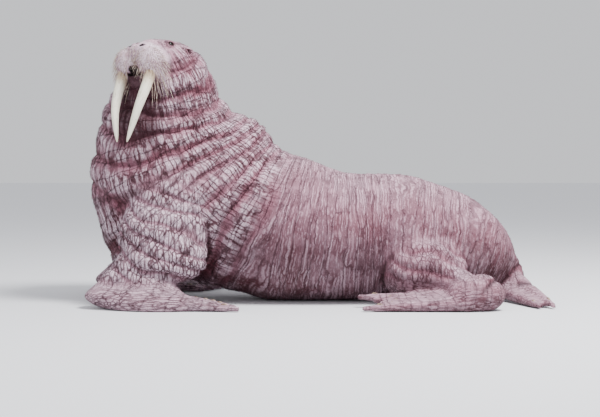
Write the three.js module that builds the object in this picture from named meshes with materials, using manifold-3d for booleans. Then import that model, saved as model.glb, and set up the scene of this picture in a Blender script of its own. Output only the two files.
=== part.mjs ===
// A bull walrus at life size, in millimetres, +Z up. It lies on its belly and props its chest up on
// its fore flippers. The head is raised and turned to the animal's left, with both tusks hanging.
// The left hind flipper is folded forwards under the hip and the right one trails behind.
// The head end is towards -X and the animal's left side towards -Y. The origin is the middle of
// the bounding box on the floor.
//
// All the flesh is one field: rounded masses and tapered bars that run smoothly into each other.
// Each named part is a piece of that field, meshed at its own fineness and parted from the next
// one by a thin gap. Tusks, eyes and ears are shapes of their own, set into sockets in the head.
import * as THREE from "three";
import { mergeVertices } from "three/addons/utils/BufferGeometryUtils.js";
import Module from "manifold-3d";

const wasm = await Module();
wasm.setup();

// Driving dimensions
const GAP = 0.3; // between parts that touch
const HEAD_AT = [-974, -200, 1535]; // midway between the eyes
const HEAD_YAW = 58; // degrees from straight ahead to the animal's left
const HEAD_PITCH = 15; // degrees, muzzle up
const EYE_RADIUS = 19;
const TUSK_LENGTH = 440; // the part that shows
const TUSK_ROOT = [76, 60]; // long and short diameter where the tusk leaves the lip
const WHISKERS_A_SIDE = 40;
const NAIL = { length: 46, radius: 9, setBack: 112 }; // set back from the tip of its digit

// Fields. Each takes a point and gives roughly the distance to a surface, negative inside.

const UPRIGHT = new THREE.Matrix3();

// A matrix whose columns are the three axes of something turned about Y by pitch and Z by yaw.
function turned(pitch, yaw = 0) {
  const [aboutY, aboutZ] = [pitch, yaw].map(THREE.MathUtils.degToRad);
  const euler = new THREE.Euler(0, aboutY, aboutZ, "ZYX");
  return new THREE.Matrix3().setFromMatrix4(new THREE.Matrix4().makeRotationFromEuler(euler));
}

// A rounded mass: an ellipsoid with its centre and three radii.
function mass([cx, cy, cz], [rx, ry, rz], turn = UPRIGHT) {
  const e = turn.elements;
  return (x, y, z) => {
    const [dx, dy, dz] = [x - cx, y - cy, z - cz];
    const u = (e[0] * dx + e[1] * dy + e[2] * dz) / rx;
    const v = (e[3] * dx + e[4] * dy + e[5] * dz) / ry;
    const w = (e[6] * dx + e[7] * dy + e[8] * dz) / rz;
    const reach = Math.hypot(u, v, w);
    return (reach * (reach - 1)) / Math.max(Math.hypot(u / rx, v / ry, w / rz), 1e-9);
  };
}

// A tapered bar with round ends.
function bar(from, to, startRadius, endRadius) {
  const [ax, ay, az] = from;
  const [bx, by, bz] = [to[0] - ax, to[1] - ay, to[2] - az];
  const square = bx * bx + by * by + bz * bz;
  return (x, y, z) => {
    const [dx, dy, dz] = [x - ax, y - ay, z - az];
    const t = Math.min(1, Math.max(0, (dx * bx + dy * by + dz * bz) / square));
    const away = Math.hypot(dx - t * bx, dy - t * by, dz - t * bz);
    return away - startRadius - t * (endRadius - startRadius);
  };
}

// A field with a cheap stand-in away from a box: it is only worked out inside the box.
function within(low, high, field) {
  const apron = 90;
  return (x, y, z) => {
    const dx = Math.max(low[0] - x, 0, x - high[0]);
    const dy = Math.max(low[1] - y, 0, y - high[1]);
    const dz = Math.max(low[2] - z, 0, z - high[2]);
    const away = Math.hypot(dx, dy, dz);
    return away > apron ? away : field(x, y, z);
  };
}

function softMin(a, b, k) {
  const near = Math.max(k - Math.abs(a - b), 0) / k;
  return Math.min(a, b) - (near * near * k) / 4;
}

// Runs several fields together, smoothly over a width k.
const blend = (k, ...fields) => (x, y, z) =>
  fields.reduce((least, field) => softMin(least, field(x, y, z), k), 1e6);

// The trunk, from the rump to the nape

function trunk() {
  const rear = blend(
    130,
    mass([1015, 0, 252], [205, 225, 216], turned(18)),
    mass([820, 0, 318], [320, 365, 334], turned(6)),
    mass([500, 0, 378], [430, 416, 388]),
    mass([140, 0, 380], [480, 448, 394]),
    mass([-215, 0, 440], [450, 456, 455], turned(14)),
  );
  const front = blend(
    90,
    mass([-560, 0, 555], [410, 450, 480]),
    mass([-880, 0, 745], [505, 430, 515]),
    mass([-550, 0, 800], [290, 310, 348], turned(28)),
    mass([-925, -15, 1075], [385, 355, 320]),
    mass([-965, 0, 400], [335, 330, 320]),
  );
  const neck = blend(
    70,
    mass([-900, -80, 1270], [292, 290, 230]),
    mass([-878, -128, 1392], [203, 222, 176]),
  );
  return blend(40, blend(110, rear, front), neck);
}

// The head, in its own frame: forwards, to the animal's left, and up from midway between the eyes

const HEAD = (() => {
  const [yaw, pitch] = [HEAD_YAW, HEAD_PITCH].map(THREE.MathUtils.degToRad);
  const level = new THREE.Vector3(-Math.cos(yaw), -Math.sin(yaw), 0);
  const up = new THREE.Vector3(0, 0, 1);
  const forward = level.clone().multiplyScalar(Math.cos(pitch)).addScaledVector(up, Math.sin(pitch));
  const left = up.clone().cross(level);
  const crown = forward.clone().cross(left);
  return { at: new THREE.Vector3(...HEAD_AT), forward, left, crown };
})();

const fromHead = (f, l, u) =>
  HEAD.at
    .clone()
    .addScaledVector(HEAD.forward, f)
    .addScaledVector(HEAD.left, l)
    .addScaledVector(HEAD.crown, u);

const headWay = (f, l, u) => fromHead(f, l, u).sub(HEAD.at).normalize();

// A field that is written in the head's frame, as a field in the animal's.
function inHead(field) {
  const [a, f, l, u] = [HEAD.at, HEAD.forward, HEAD.left, HEAD.crown];
  return (x, y, z) => {
    const [dx, dy, dz] = [x - a.x, y - a.y, z - a.z];
    return field(
      f.x * dx + f.y * dy + f.z * dz,
      l.x * dx + l.y * dy + l.z * dz,
      u.x * dx + u.y * dy + u.z * dz,
    );
  };
}

const bothSides = (make) => [make(1), make(-1)];

function headFlesh() {
  const skull = blend(
    40,
    mass([-100, 0, -72], [172, 132, 112]),
    mass([-14, 0, -26], [114, 90, 64]),
    mass([78, 0, -80], [78, 74, 56]),
    ...bothSides((s) => mass([-22, s * 84, -112], [112, 66, 86])),
    ...bothSides((s) => mass([-2, s * 93, -8], [42, 20, 28])),
  );
  const muzzle = blend(
    20,
    ...bothSides((s) => mass([84, s * 80, -130], [94, 88, 88])),
    ...bothSides((s) => mass([62, s * 104, -180], [58, 54, 44])),
    mass([124, 0, -72], [44, 66, 36]),
  );
  const jaw = blend(
    30,
    mass([34, 0, -238], [74, 60, 42]),
    bar([20, 0, -215], [-150, 0, -190], 60, 105),
  );
  return inHead(blend(18, blend(30, skull, muzzle), jaw));
}

// Limbs. side is -1 for the animal's left, which is towards -Y, and 1 for its right.

// A flipper: five digits that fan out from the wrist, with thinner webs between them. Roots and
// tips are given as distances along the flipper and across it, and heights over the floor.
const WEB_SHARES = [0.33, 0.67]; // where the bars of a web lie, from one digit to the next

function flipper({ wrist, heading, side, tips, roots, thick }) {
  const turn = THREE.MathUtils.degToRad(heading);
  const [ax, ay] = [Math.cos(turn), Math.sin(turn)];
  const place = ([a, b, height]) => [
    wrist[0] + a * ax - b * side * ay,
    wrist[1] + a * ay + b * side * ax,
    height,
  ];
  const between = (p, q, share) => p.map((v, i) => v + (q[i] - v) * share);
  const digits = tips.map((tip, i) => bar(place(roots[i]), place(tip), ...thick));
  const webs = tips.slice(1).flatMap((tip, i) =>
    WEB_SHARES.map((share) => {
      const root = between(roots[i], roots[i + 1], share);
      const reach = 0.98 - 0.52 * share * (1 - share);
      const end = between(root, between(tips[i], tip, share), reach);
      return bar(place(root), place(end), thick[0] * 0.7, thick[1] * 0.62);
    }),
  );
  return { flesh: blend(24, ...webs, ...digits), place, tips, roots, thick };
}

const FORE = {
  left: { side: -1, at: [-905, -505], heading: -8 },
  right: { side: 1, at: [-1015, 505], heading: 8 },
};

function foreLimb({ side, at, heading }) {
  const s = side;
  const [x, y] = at;
  const hand = flipper({
    wrist: at,
    heading,
    side,
    roots: [[-130, 112, 56], [-120, 60, 58], [-110, 8, 58], [-100, -44, 54], [-90, -86, 46]],
    tips: [[484, 112, 13], [440, 30, 13], [385, -46, 13], [325, -108, 13], [258, -156, 13]],
    thick: [50, 16],
  });
  const [heelX, heelY] = hand.place([-245, 30, 0]);
  const [ballX, ballY] = hand.place([-40, 62, 0]);
  const arm = blend(
    70,
    mass([x + 65, s * 330, 600], [265, 165, 255]),
    mass([x + 8, s * 390, 405], [262, 168, 205]),
    mass([x + 22, s * 436, 262], [236, 150, 128]),
  );
  const palm = blend(
    50,
    mass([heelX, heelY, 58], [192, 118, 60], turned(4, heading)),
    mass([ballX, ballY, 26], [270, 130, 100], turned(4, heading)),
    mass([x - 60, y - s * 20, 120], [190, 112, 100], turned(22, heading)),
    bar([x - 335, y - s * 10, 86], [x - 150, y - s * 70, 285], 58, 84),
  );
  const low = [x - 460, Math.min(s * 170, s * 760), 0];
  const high = [x + 560, Math.max(s * 170, s * 760), 870];
  return { flesh: within(low, high, blend(26, arm, blend(45, palm, hand.flesh))), hand };
}

const HIND = {
  left: {
    side: -1,
    thigh: [[640, -345, 198], [250, 170, 202]],
    shank: [[770, -420, 150], [925, -580, 90]],
    heel: [[905, -606, 88], [166, 98, 108]],
    foot: {
      wrist: [820, -600],
      heading: 177,
      side: 1,
      roots: [[-30, 66, 40], [-10, 34, 42], [0, 0, 46], [-10, -34, 52], [-30, -66, 58]],
      tips: [[545, 100, 16], [472, 52, 20], [446, 2, 32], [482, -48, 48], [572, -98, 60]],
      thick: [40, 17],
    },
    low: [200, -760, 0],
    high: [1120, -150, 430],
  },
  right: {
    side: 1,
    thigh: [[720, 320, 195], [250, 160, 195]],
    shank: [[870, 290, 160], [1105, 100, 140]],
    heel: [[1140, 60, 112], [118, 92, 104]],
    foot: {
      wrist: [1165, 0],
      heading: -74,
      side: 1,
      roots: [[-40, 56, 160], [-20, 30, 136], [-10, 2, 110], [-20, -26, 84], [-40, -52, 62]],
      tips: [[590, 36, 16], [520, 24, 22], [496, 4, 20], [510, -18, 17], [566, -42, 13]],
      thick: [44, 13],
    },
    low: [420, -680, 0],
    high: [1480, 560, 430],
  },
};

function hindLimb({ side, thigh, shank, heel, foot, low, high }) {
  const sole = flipper(foot);
  const leg = blend(60, mass(...thigh), bar(...shank, 105, 84), mass(...heel));
  return { flesh: within(low, high, blend(36, leg, sole.flesh)), hand: sole };
}

const tailFlesh = within(
  [1000, -200, 0],
  [1450, 200, 420],
  blend(
    40,
    bar([1115, 0, 250], [1218, -6, 186], 106, 58),
    bar([1218, -6, 186], [1262, -12, 146], 54, 26),
  ),
);

const limbs = {
  foreLeft: foreLimb(FORE.left),
  foreRight: foreLimb(FORE.right),
  hindLeft: hindLimb(HIND.left),
  hindRight: hindLimb(HIND.right),
};

const headTrunkTail = blend(
  60,
  trunk(),
  within([-1330, -560, 1150], [-640, 120, 1680], headFlesh()),
  tailFlesh,
);
const flesh = blend(
  48,
  blend(42, headTrunkTail, limbs.foreLeft.flesh, limbs.foreRight.flesh),
  limbs.hindLeft.flesh,
  limbs.hindRight.flesh,
);

// Solids

const FLOOR_BOX = 8000;

function asSolid(geometry) {
  const bare = geometry.clone();
  for (const name of Object.keys(bare.attributes)) {
    if (name !== "position") bare.deleteAttribute(name);
  }
  const merged = mergeVertices(bare, 1e-3);
  return new wasm.Manifold(
    new wasm.Mesh({
      numProp: 3,
      vertProperties: merged.attributes.position.array,
      triVerts: new Uint32Array(merged.index.array),
    }),
  );
}

function asGeometry(solid) {
  const made = solid.getMesh();
  const places = new Float32Array(made.numVert * 3);
  for (let i = 0; i < made.numVert; i += 1) {
    places.set(made.vertProperties.subarray(i * made.numProp, i * made.numProp + 3), i * 3);
  }
  return new THREE.BufferGeometry()
    .setAttribute("position", new THREE.BufferAttribute(places, 3))
    .setIndex(new THREE.BufferAttribute(made.triVerts, 1));
}

const largest = (solid) =>
  solid.decompose().reduce((most, body) => (body.volume() > most.volume() ? body : most));

// Everything on the side of a plane that its normal points to, moved along the normal by shift.
function beyond({ point, normal }, shift) {
  const way = new THREE.Vector3(...normal).normalize();
  const box = new THREE.BoxGeometry(FLOOR_BOX, FLOOR_BOX, FLOOR_BOX);
  box.translate(0, 0, FLOOR_BOX / 2 + shift);
  box.applyQuaternion(new THREE.Quaternion().setFromUnitVectors(new THREE.Vector3(0, 0, 1), way));
  box.translate(...point);
  return asSolid(box);
}

// Whether a point lies on the inner side of all the planes, by more than a margin.
const isInside = (planes, place, margin) =>
  planes.every(({ point, normal }) => {
    const way = new THREE.Vector3(...normal).normalize();
    return place.clone().sub(new THREE.Vector3(...point)).dot(way) > margin;
  });

// The space that several planes enclose, drawn in by shift.
const enclosed = (planes, shift) =>
  planes.map((plane) => beyond(plane, shift)).reduce((all, one) => all.intersect(one));

// Meshes a field inside a box: one vertex in each cell that the surface crosses, settled onto the
// surface, and one face across each grid edge that it crosses.
function netOf(field, low, high, cell) {
  const count = low.map((v, i) => Math.ceil((high[i] - v) / cell[i]) + 1);
  const [nx, ny, nz] = count;
  const at = (i, j, k) => (k * ny + j) * nx + i;
  const values = new Float32Array(nx * ny * nz);
  for (let k = 0; k < nz; k += 1) {
    for (let j = 0; j < ny; j += 1) {
      for (let i = 0; i < nx; i += 1) {
        const rim = !i || !j || !k || i === nx - 1 || j === ny - 1 || k === nz - 1;
        const value = field(low[0] + i * cell[0], low[1] + j * cell[1], low[2] + k * cell[2]);
        values[at(i, j, k)] = rim ? Math.max(value, cell[0] / 2) : value;
      }
    }
  }
  separate(values, count, at);
  const slot = new Map();
  const places = [];
  const vertexOf = (i, j, k) => {
    const id = at(i, j, k);
    if (slot.has(id)) return slot.get(id);
    const sum = [0, 0, 0];
    let crossings = 0;
    for (let axis = 0; axis < 3; axis += 1) {
      for (let side = 0; side < 4; side += 1) {
        const corner = [0, 0, 0];
        corner[(axis + 1) % 3] = side & 1;
        corner[(axis + 2) % 3] = side >> 1;
        const end = [...corner];
        end[axis] = 1;
        const a = values[at(i + corner[0], j + corner[1], k + corner[2])];
        const b = values[at(i + end[0], j + end[1], k + end[2])];
        if (a < 0 === b < 0) continue;
        corner[axis] = a / (a - b);
        corner.forEach((v, n) => (sum[n] += v));
        crossings += 1;
      }
    }
    const place = sum.map((v, n) => low[n] + ([i, j, k][n] + v / crossings) * cell[n]);
    settle(field, place, Math.min(...cell) * 0.4);
    slot.set(id, places.length / 3);
    places.push(...place);
    return slot.get(id);
  };
  const faces = [];
  for (let k = 0; k < nz - 1; k += 1) {
    for (let j = 0; j < ny - 1; j += 1) {
      for (let i = 0; i < nx - 1; i += 1) {
        const here = values[at(i, j, k)] < 0;
        for (let axis = 0; axis < 3; axis += 1) {
          const step = [0, 0, 0];
          step[axis] = 1;
          if (here === values[at(i + step[0], j + step[1], k + step[2])] < 0) continue;
          const [p, q] = [[0, 0, 0], [0, 0, 0]];
          p[(axis + 1) % 3] = 1;
          q[(axis + 2) % 3] = 1;
          const ring = [
            vertexOf(i, j, k),
            vertexOf(i - p[0], j - p[1], k - p[2]),
            vertexOf(i - p[0] - q[0], j - p[1] - q[1], k - p[2] - q[2]),
            vertexOf(i - q[0], j - q[1], k - q[2]),
          ];
          if (!here) ring.reverse();
          faces.push(...halves(places, ring));
        }
      }
    }
  }
  return new THREE.BufferGeometry()
    .setAttribute("position", new THREE.Float32BufferAttribute(places, 3))
    .setIndex(faces);
}

// For each of the 256 ways in which a cell's corners can lie in or out: whether the ones inside
// hang together along the cell's edges, and the ones outside too. A corner's bits are x, y and z.
const SIMPLE = Array.from({ length: 256 }, (_, code) =>
  [true, false].every((wanted) => {
    const mine = [0, 1, 2, 3, 4, 5, 6, 7].filter((c) => Boolean((code >> c) & 1) === wanted);
    const reached = new Set(mine.slice(0, 1));
    for (const c of reached) {
      for (const d of [c ^ 1, c ^ 2, c ^ 4]) if (mine.includes(d)) reached.add(d);
    }
    return reached.size === mine.length;
  }),
);

// Moves the grid value nearest to the surface to its other side wherever a cell isn't simple, so
// that the mesh never touches itself.
function separate(values, [nx, ny, nz], at) {
  for (let changed = true; changed; ) {
    changed = false;
    for (let k = 0; k < nz - 1; k += 1) {
      for (let j = 0; j < ny - 1; j += 1) {
        for (let i = 0; i < nx - 1; i += 1) {
          const ids = [0, 1, 2, 3, 4, 5, 6, 7].map((c) =>
            at(i + (c & 1), j + ((c >> 1) & 1), k + (c >> 2)),
          );
          const code = ids.reduce((bits, id, c) => bits | (values[id] < 0 ? 1 << c : 0), 0);
          if (SIMPLE[code]) continue;
          const inside = ids.filter((id) => values[id] < 0);
          const weakest = inside.reduce((least, id) => (values[id] > values[least] ? id : least));
          values[weakest] = 1e-3;
          changed = true;
        }
      }
    }
  }
}

// Splits a four-sided face along its shorter diagonal.
function halves(places, [a, b, c, d]) {
  const apart = (i, j) =>
    Math.hypot(...[0, 1, 2].map((n) => places[i * 3 + n] - places[j * 3 + n]));
  return apart(a, c) < apart(b, d) ? [a, b, c, a, c, d] : [a, b, d, b, c, d];
}

// The way in which a field grows fastest at a point, with its steepness as its length.
function slope(field, [x, y, z]) {
  const h = 0.5;
  return [
    (field(x + h, y, z) - field(x - h, y, z)) / (2 * h),
    (field(x, y + h, z) - field(x, y - h, z)) / (2 * h),
    (field(x, y, z + h) - field(x, y, z - h)) / (2 * h),
  ];
}

// Moves a point onto the field's surface, by at most a given distance.
function settle(field, place, most) {
  const start = [...place];
  for (let turn = 0; turn < 3; turn += 1) {
    const way = slope(field, place);
    const square = way[0] ** 2 + way[1] ** 2 + way[2] ** 2;
    const step = field(...place) / Math.max(square, 1e-4);
    place.forEach((v, n) => (place[n] = v - step * way[n]));
  }
  const moved = Math.hypot(...place.map((v, n) => v - start[n]));
  const share = Math.min(1, most / Math.max(moved, 1e-9));
  place.forEach((v, n) => (place[n] = start[n] + (v - start[n]) * share));
}

const FLOOR = { point: [0, 0, 0], normal: [0, 0, 1] };

// One named part of the flesh: the field inside some planes, without the blocks that belong to
// other parts, flat where it meets the floor.
function portion({ field = flesh, low, high, cell, planes = [], without = [] }) {
  const cells = Array.isArray(cell) ? cell : [cell, cell, cell];
  const margin = cells.map((c) => c * 2.5);
  const net = netOf(
    field,
    low.map((v, i) => v - margin[i]),
    high.map((v, i) => v + margin[i]),
    cells,
  );
  const walls = low.flatMap((v, i) => [
    { point: low, normal: [0, 1, 2].map((n) => (n === i ? 1 : 0)) },
    { point: high, normal: [0, 1, 2].map((n) => (n === i ? -1 : 0)) },
  ]);
  let solid = asSolid(net).intersect(enclosed([...walls, FLOOR], 0));
  if (planes.length) solid = solid.intersect(enclosed(planes, GAP / 2));
  for (const block of without) solid = solid.subtract(enclosed(block, -GAP / 2));
  return largest(solid);
}

// Where one part ends and the next begins

const headPoint = (f, l, u) => fromHead(f, l, u).toArray();
const flip = ({ point, normal }) => ({ point, normal: normal.map((v) => -v) });

const NECK_TOP = { point: [-880, -90, 1345], normal: headWay(0.55, 0, 0.83).toArray() };
const NECK_FOOT = { point: [-800, 0, 1040], normal: [-0.3, 0, 0.954] };
const CHEST_BACK = { point: [-430, 0, 500], normal: [-0.94, 0, 0.34] };
const LOINS = { point: [470, 0, 400], normal: [-1, 0, 0] };
const TAIL_ROOT = { point: [1172, 0, 225], normal: [0.86, 0, -0.5] };

// Blocks that hold the whole of one limb or one feature
const armBlock = (side) => [
  { point: [0, side * 300, 500], normal: [0, side * 0.94, -0.34] },
  { point: [-560, 0, 300], normal: [-0.97, 0, -0.24] },
  { point: [0, 0, 770], normal: [0, 0, -1] },
];
const handBlock = (side) => [
  { point: [0, side * 340, 60], normal: [0, side * 0.9, -0.43] },
  { point: [-900, 0, 165], normal: [-0.2, 0, -0.98] },
  { point: [-360, 0, 0], normal: [-1, 0, 0] },
];
const legBlock = {
  left: [
    { point: [0, -330, 325], normal: [0, -0.6, -0.8] },
    { point: [0, -190, 0], normal: [0, -1, 0] },
    { point: [385, 0, 0], normal: [1, 0, 0] },
    { point: [1088, 0, 0], normal: [-1, 0, 0] },
  ],
  right: [
    { point: [0, 320, 325], normal: [0, 0.6, -0.8] },
    { point: [0, 190, 0], normal: [0, 1, 0] },
    { point: [465, 0, 0], normal: [1, 0, 0] },
  ],
};
const soleBlock = {
  left: [
    { point: [795, 0, 40], normal: [-0.98, 0, -0.2] },
    { point: [0, -470, 60], normal: [0, -0.9, -0.43] },
    { point: [0, 0, 152], normal: [0, 0, -1] },
  ],
  right: [
    { point: [1150, -50, 60], normal: [0.28, -0.94, -0.2] },
    { point: [1088, 0, 0], normal: [1, 0, 0] },
    { point: [0, 0, 260], normal: [0, 0, -1] },
  ],
};

const headPlane = (point, normal) => ({
  point: headPoint(...point),
  normal: headWay(...normal).toArray(),
});
const padBlock = (side) => [
  headPlane([34, 0, -60], [0.9, 0, -0.43]),
  headPlane([0, 0, -234], [0, 0, 1]),
  headPlane([0, side * 166, 0], [0, -side, 0]),
  headPlane([0, 0, 0], [0, side, 0]),
];
const chinBlock = [
  headPlane([48, 0, -206], [0.2, 0, -0.98]),
  headPlane([-40, 0, -206], [1, 0, 0]),
  headPlane([0, 70, 0], [0, -1, 0]),
  headPlane([0, -70, 0], [0, 1, 0]),
  NECK_TOP,
];

// Shapes of their own, set into the head

// A skin over rings of points, closed by a point at each end.
function loft(start, rings, end) {
  const around = rings[0].length;
  const places = [start, ...rings.flat(), end].flatMap((p) => p.toArray());
  const index = (ring, n) => 1 + ring * around + (n % around);
  const last = 1 + rings.length * around;
  const faces = [];
  for (let n = 0; n < around; n += 1) {
    faces.push(0, index(0, n + 1), index(0, n));
    faces.push(last, index(rings.length - 1, n), index(rings.length - 1, n + 1));
    for (let ring = 1; ring < rings.length; ring += 1) {
      const [a, b] = [index(ring - 1, n), index(ring - 1, n + 1)];
      const [c, d] = [index(ring, n), index(ring, n + 1)];
      faces.push(a, b, d, a, d, c);
    }
  }
  return new THREE.BufferGeometry()
    .setAttribute("position", new THREE.Float32BufferAttribute(places, 3))
    .setIndex(faces);
}

// A tapered horn along a curve. size gives the two half widths at a share of the way along.
function horn(curve, across, size, steps, around, grow = 0) {
  const rings = [];
  for (let i = 0; i < steps; i += 1) {
    const t = i / steps;
    const middle = curve.getPoint(t);
    const way = curve.getTangent(t);
    const side = across.clone().addScaledVector(way, -across.dot(way)).normalize();
    const front = way.clone().cross(side);
    const [wide, deep] = size(t).map((v) => v + grow);
    rings.push(
      Array.from({ length: around }, (_, n) => {
        const a = (2 * Math.PI * n) / around;
        return middle
          .clone()
          .addScaledVector(side, wide * Math.cos(a))
          .addScaledVector(front, deep * Math.sin(a));
      }),
    );
  }
  return loft(curve.getPoint(0), rings, curve.getPoint(1));
}

function tusk(side, grow = 0) {
  const root = fromHead(92, side * 98, -150 + grow);
  const lip = fromHead(104, side * 104, -210);
  const middle = fromHead(142, side * 86, -210 - TUSK_LENGTH * 0.5);
  const tip = fromHead(132, side * 37, -210 - TUSK_LENGTH * 0.96);
  const curve = new THREE.CatmullRomCurve3([root, lip, middle, tip]);
  const [long, short] = TUSK_ROOT.map((d) => d / 2);
  const size = (t) => {
    const taper = Math.sqrt(Math.max(0, 1 - t ** 2.4)) * (1 - 0.28 * t);
    return [short * taper, long * taper];
  };
  return asSolid(horn(curve, HEAD.left, size, 11, 10, grow));
}

// Each eye sits in the side of the head, a little under half of it showing.
const eyeAt = (side) => {
  const way = headWay(0.3, side, 0.1);
  return onHead(fromHead(-16, side * 50, -4), way).addScaledVector(way, -EYE_RADIUS * 0.42);
};

function eye(side, grow = 0) {
  const ball = new THREE.SphereGeometry(EYE_RADIUS + grow, 12, 8);
  ball.translate(...eyeAt(side).toArray());
  return asSolid(ball);
}

// The ring of lids that holds the eye
function lids(side) {
  const ring = new THREE.TorusGeometry(EYE_RADIUS * 0.92, 6.5, 6, 14);
  ring.scale(1.12, 0.86, 1.2);
  const way = headWay(0.3, side, 0.08);
  ring.applyQuaternion(new THREE.Quaternion().setFromUnitVectors(new THREE.Vector3(0, 0, 1), way));
  ring.translate(...eyeAt(side).addScaledVector(way, EYE_RADIUS * 0.5).toArray());
  return asSolid(ring);
}

// A nostril: a slit that slants down towards the middle, on the brow of the muzzle
function nostril(side) {
  const way = headWay(0.78, side * 0.2, 0.6);
  const across = headWay(-0.35, side * 0.75, 0.5).cross(way).normalize();
  const slit = new THREE.SphereGeometry(1, 10, 6);
  slit.scale(22, 8, 16);
  slit.applyMatrix4(new THREE.Matrix4().makeBasis(way, across, way.clone().cross(across)));
  slit.translate(...onHead(fromHead(68, side * 44, -80), way).addScaledVector(way, 8).toArray());
  return asSolid(slit);
}

// The mouth: its line, a shallow cut over the lower lip, and the arch where the upper lip parts
const MOUTH_CUTS = [
  { at: [92, 0, -212], radii: [74, 60, 7] },
  { at: [112, 0, -186], radii: [56, 44, 25] },
];

function mouthCut({ at, radii }) {
  const cut = new THREE.SphereGeometry(1, 14, 6);
  cut.scale(...radii);
  cut.applyMatrix4(new THREE.Matrix4().makeBasis(HEAD.forward, HEAD.left, HEAD.crown));
  cut.translate(...fromHead(...at).toArray());
  return asSolid(cut);
}

const earAt = (side) => onHead(fromHead(-72, side * 78, -26), headWay(-0.1, side, 0.1));

// The point where a line from inside the head leaves the flesh.
function onHead(from, way) {
  const place = from.clone();
  for (let step = 0; step < 60; step += 1) {
    place.addScaledVector(way, Math.max(0.2, -flesh(...place.toArray())) * 0.7);
    if (flesh(...place.toArray()) > -0.1) break;
  }
  return place;
}

// The ear: a low fold of skin round a small cup. Its socket is the same shape with the cup filled.
const EAR_FOLD = [[0, -16], [21, -16], [23, -5], [19, 5], [13, 7], [10, 1], [6, -6], [0, -8]];
const EAR_SOCKET = [
  [0, -16 - GAP],
  [21 + GAP, -16 - GAP],
  [23 + GAP, -5],
  [19 + GAP, 7 + GAP],
  [0, 7 + GAP],
];

function ear(side, outline) {
  const cup = new THREE.LatheGeometry(outline.map(([x, y]) => new THREE.Vector2(x, y)), 10);
  cup.rotateX(Math.PI / 2);
  cup.scale(1.25, 0.85, 1);
  const way = headWay(0.15, side, 0.1);
  cup.applyQuaternion(new THREE.Quaternion().setFromUnitVectors(new THREE.Vector3(0, 0, 1), way));
  cup.translate(...earAt(side).toArray());
  return asSolid(cup);
}

// Whiskers: stiff tapered bristles over the front of each pad, longest at its lower edge

function seeded(seed) {
  let state = seed;
  return () => {
    state = (state * 1664525 + 1013904223) % 4294967296;
    return state / 4294967296;
  };
}

const GOLDEN = Math.PI * (3 - Math.sqrt(5));

function whiskers(side) {
  const draw = seeded(side > 0 ? 11 : 23);
  const middle = fromHead(80, side * 80, -118);
  const facing = headWay(0.86, side * 0.22, -0.46);
  const across = HEAD.left.clone().multiplyScalar(side);
  const down = across.clone().addScaledVector(facing, -across.dot(facing)).normalize().cross(facing);
  if (down.dot(HEAD.crown) > 0) down.negate();
  const made = [];
  for (let n = 0; n < WHISKERS_A_SIDE; n += 1) {
    const spread = 1.28 * Math.sqrt((n + 0.5) / WHISKERS_A_SIDE);
    const spin = n * GOLDEN;
    const way = facing
      .clone()
      .multiplyScalar(Math.cos(spread))
      .addScaledVector(across, Math.sin(spread) * Math.cos(spin))
      .addScaledVector(down, Math.sin(spread) * Math.sin(spin));
    const root = onHead(middle, way);
    const out = new THREE.Vector3(...slope(flesh, root.toArray())).normalize();
    const low = (1 + way.dot(down)) / 2;
    const length = 34 + 58 * low * low + 14 * draw();
    const lie = out
      .clone()
      .addScaledVector(down, 0.5 + 0.8 * low)
      .addScaledVector(across, 0.25 * way.dot(across))
      .normalize();
    const curve = new THREE.QuadraticBezierCurve3(
      root.clone().addScaledVector(lie, -9),
      root.clone().addScaledVector(lie, length * 0.55),
      root.clone().addScaledVector(lie, length).addScaledVector(down, length * 0.22),
    );
    const clear = [0, 0.1, 0.2, 0.3, 0.4, 0.5, 0.6, 0.7, 0.8, 0.9, 1].every((t) => {
      const place = curve.getPoint(t);
      return flesh(...place.toArray()) > 6 || (t < 0.5 && isInside(padBlock(side), place, 4));
    });
    const girth = (t) => [2.3 * (1 - 0.7 * t), 2.3 * (1 - 0.7 * t)];
    if (clear) made.push(asSolid(horn(curve, across, girth, 2, 4)));
  }
  return made;
}

// Nails: a small horn on top of each digit, with its root sunk in
function nails({ place, roots, tips, thick }) {
  return tips.map((tip, i) => {
    const [root, end] = [place(roots[i]), place(tip)].map((spot) => new THREE.Vector3(...spot));
    const way = end.clone().sub(root);
    const share = NAIL.setBack / way.length();
    const half = thick[1] + (thick[0] - thick[1]) * share;
    way.normalize();
    const up = new THREE.Vector3(0, 0, 1).addScaledVector(way, -way.z).normalize();
    const along = (back, high) => end.clone().addScaledVector(way, -back).addScaledVector(up, high);
    const curve = new THREE.QuadraticBezierCurve3(
      along(NAIL.setBack, half - 2 * NAIL.radius),
      along(NAIL.setBack - NAIL.length / 2, half + NAIL.radius),
      along(NAIL.setBack - NAIL.length, half - 2),
    );
    const girth = (t) => [NAIL.radius * (1 - 0.6 * t), NAIL.radius * (0.8 - 0.5 * t)];
    return asSolid(horn(curve, way.clone().cross(up), girth, 2, 6));
  });
}

const withNails = (solid, hand) => nails(hand).reduce((all, nail) => all.add(nail), solid);

// The parts

const HIDE = "#8c6258";
const DARK_HIDE = "#7d5a52";
const PARTS = [];
const part = (name, solid, color, roughness) => PARTS.push({ name, solid, color, roughness });

const headLow = [-1330, -560, 1150];
const headHigh = [-540, 280, 1690];
const sides = [["left", 1], ["right", -1]];

// Sockets for what is set into the head, and the slits of the nostrils
const hollows = [
  ...MOUTH_CUTS.map(mouthCut),
  ...sides.flatMap(([, s]) => [eye(s, GAP), tusk(s, GAP), nostril(s)]),
];
const hollowed = (solid) => hollows.reduce((left, hollow) => left.subtract(hollow), solid);

let head = portion({
  low: headLow,
  high: headHigh,
  cell: 33,
  planes: [NECK_TOP],
  without: [padBlock(1), padBlock(-1), chinBlock],
});
for (const [, s] of sides) head = head.add(lids(s));
for (const [, s] of sides) head = head.subtract(ear(s, EAR_SOCKET));
part("head", largest(hollowed(head)), HIDE, 0.75);

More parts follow.
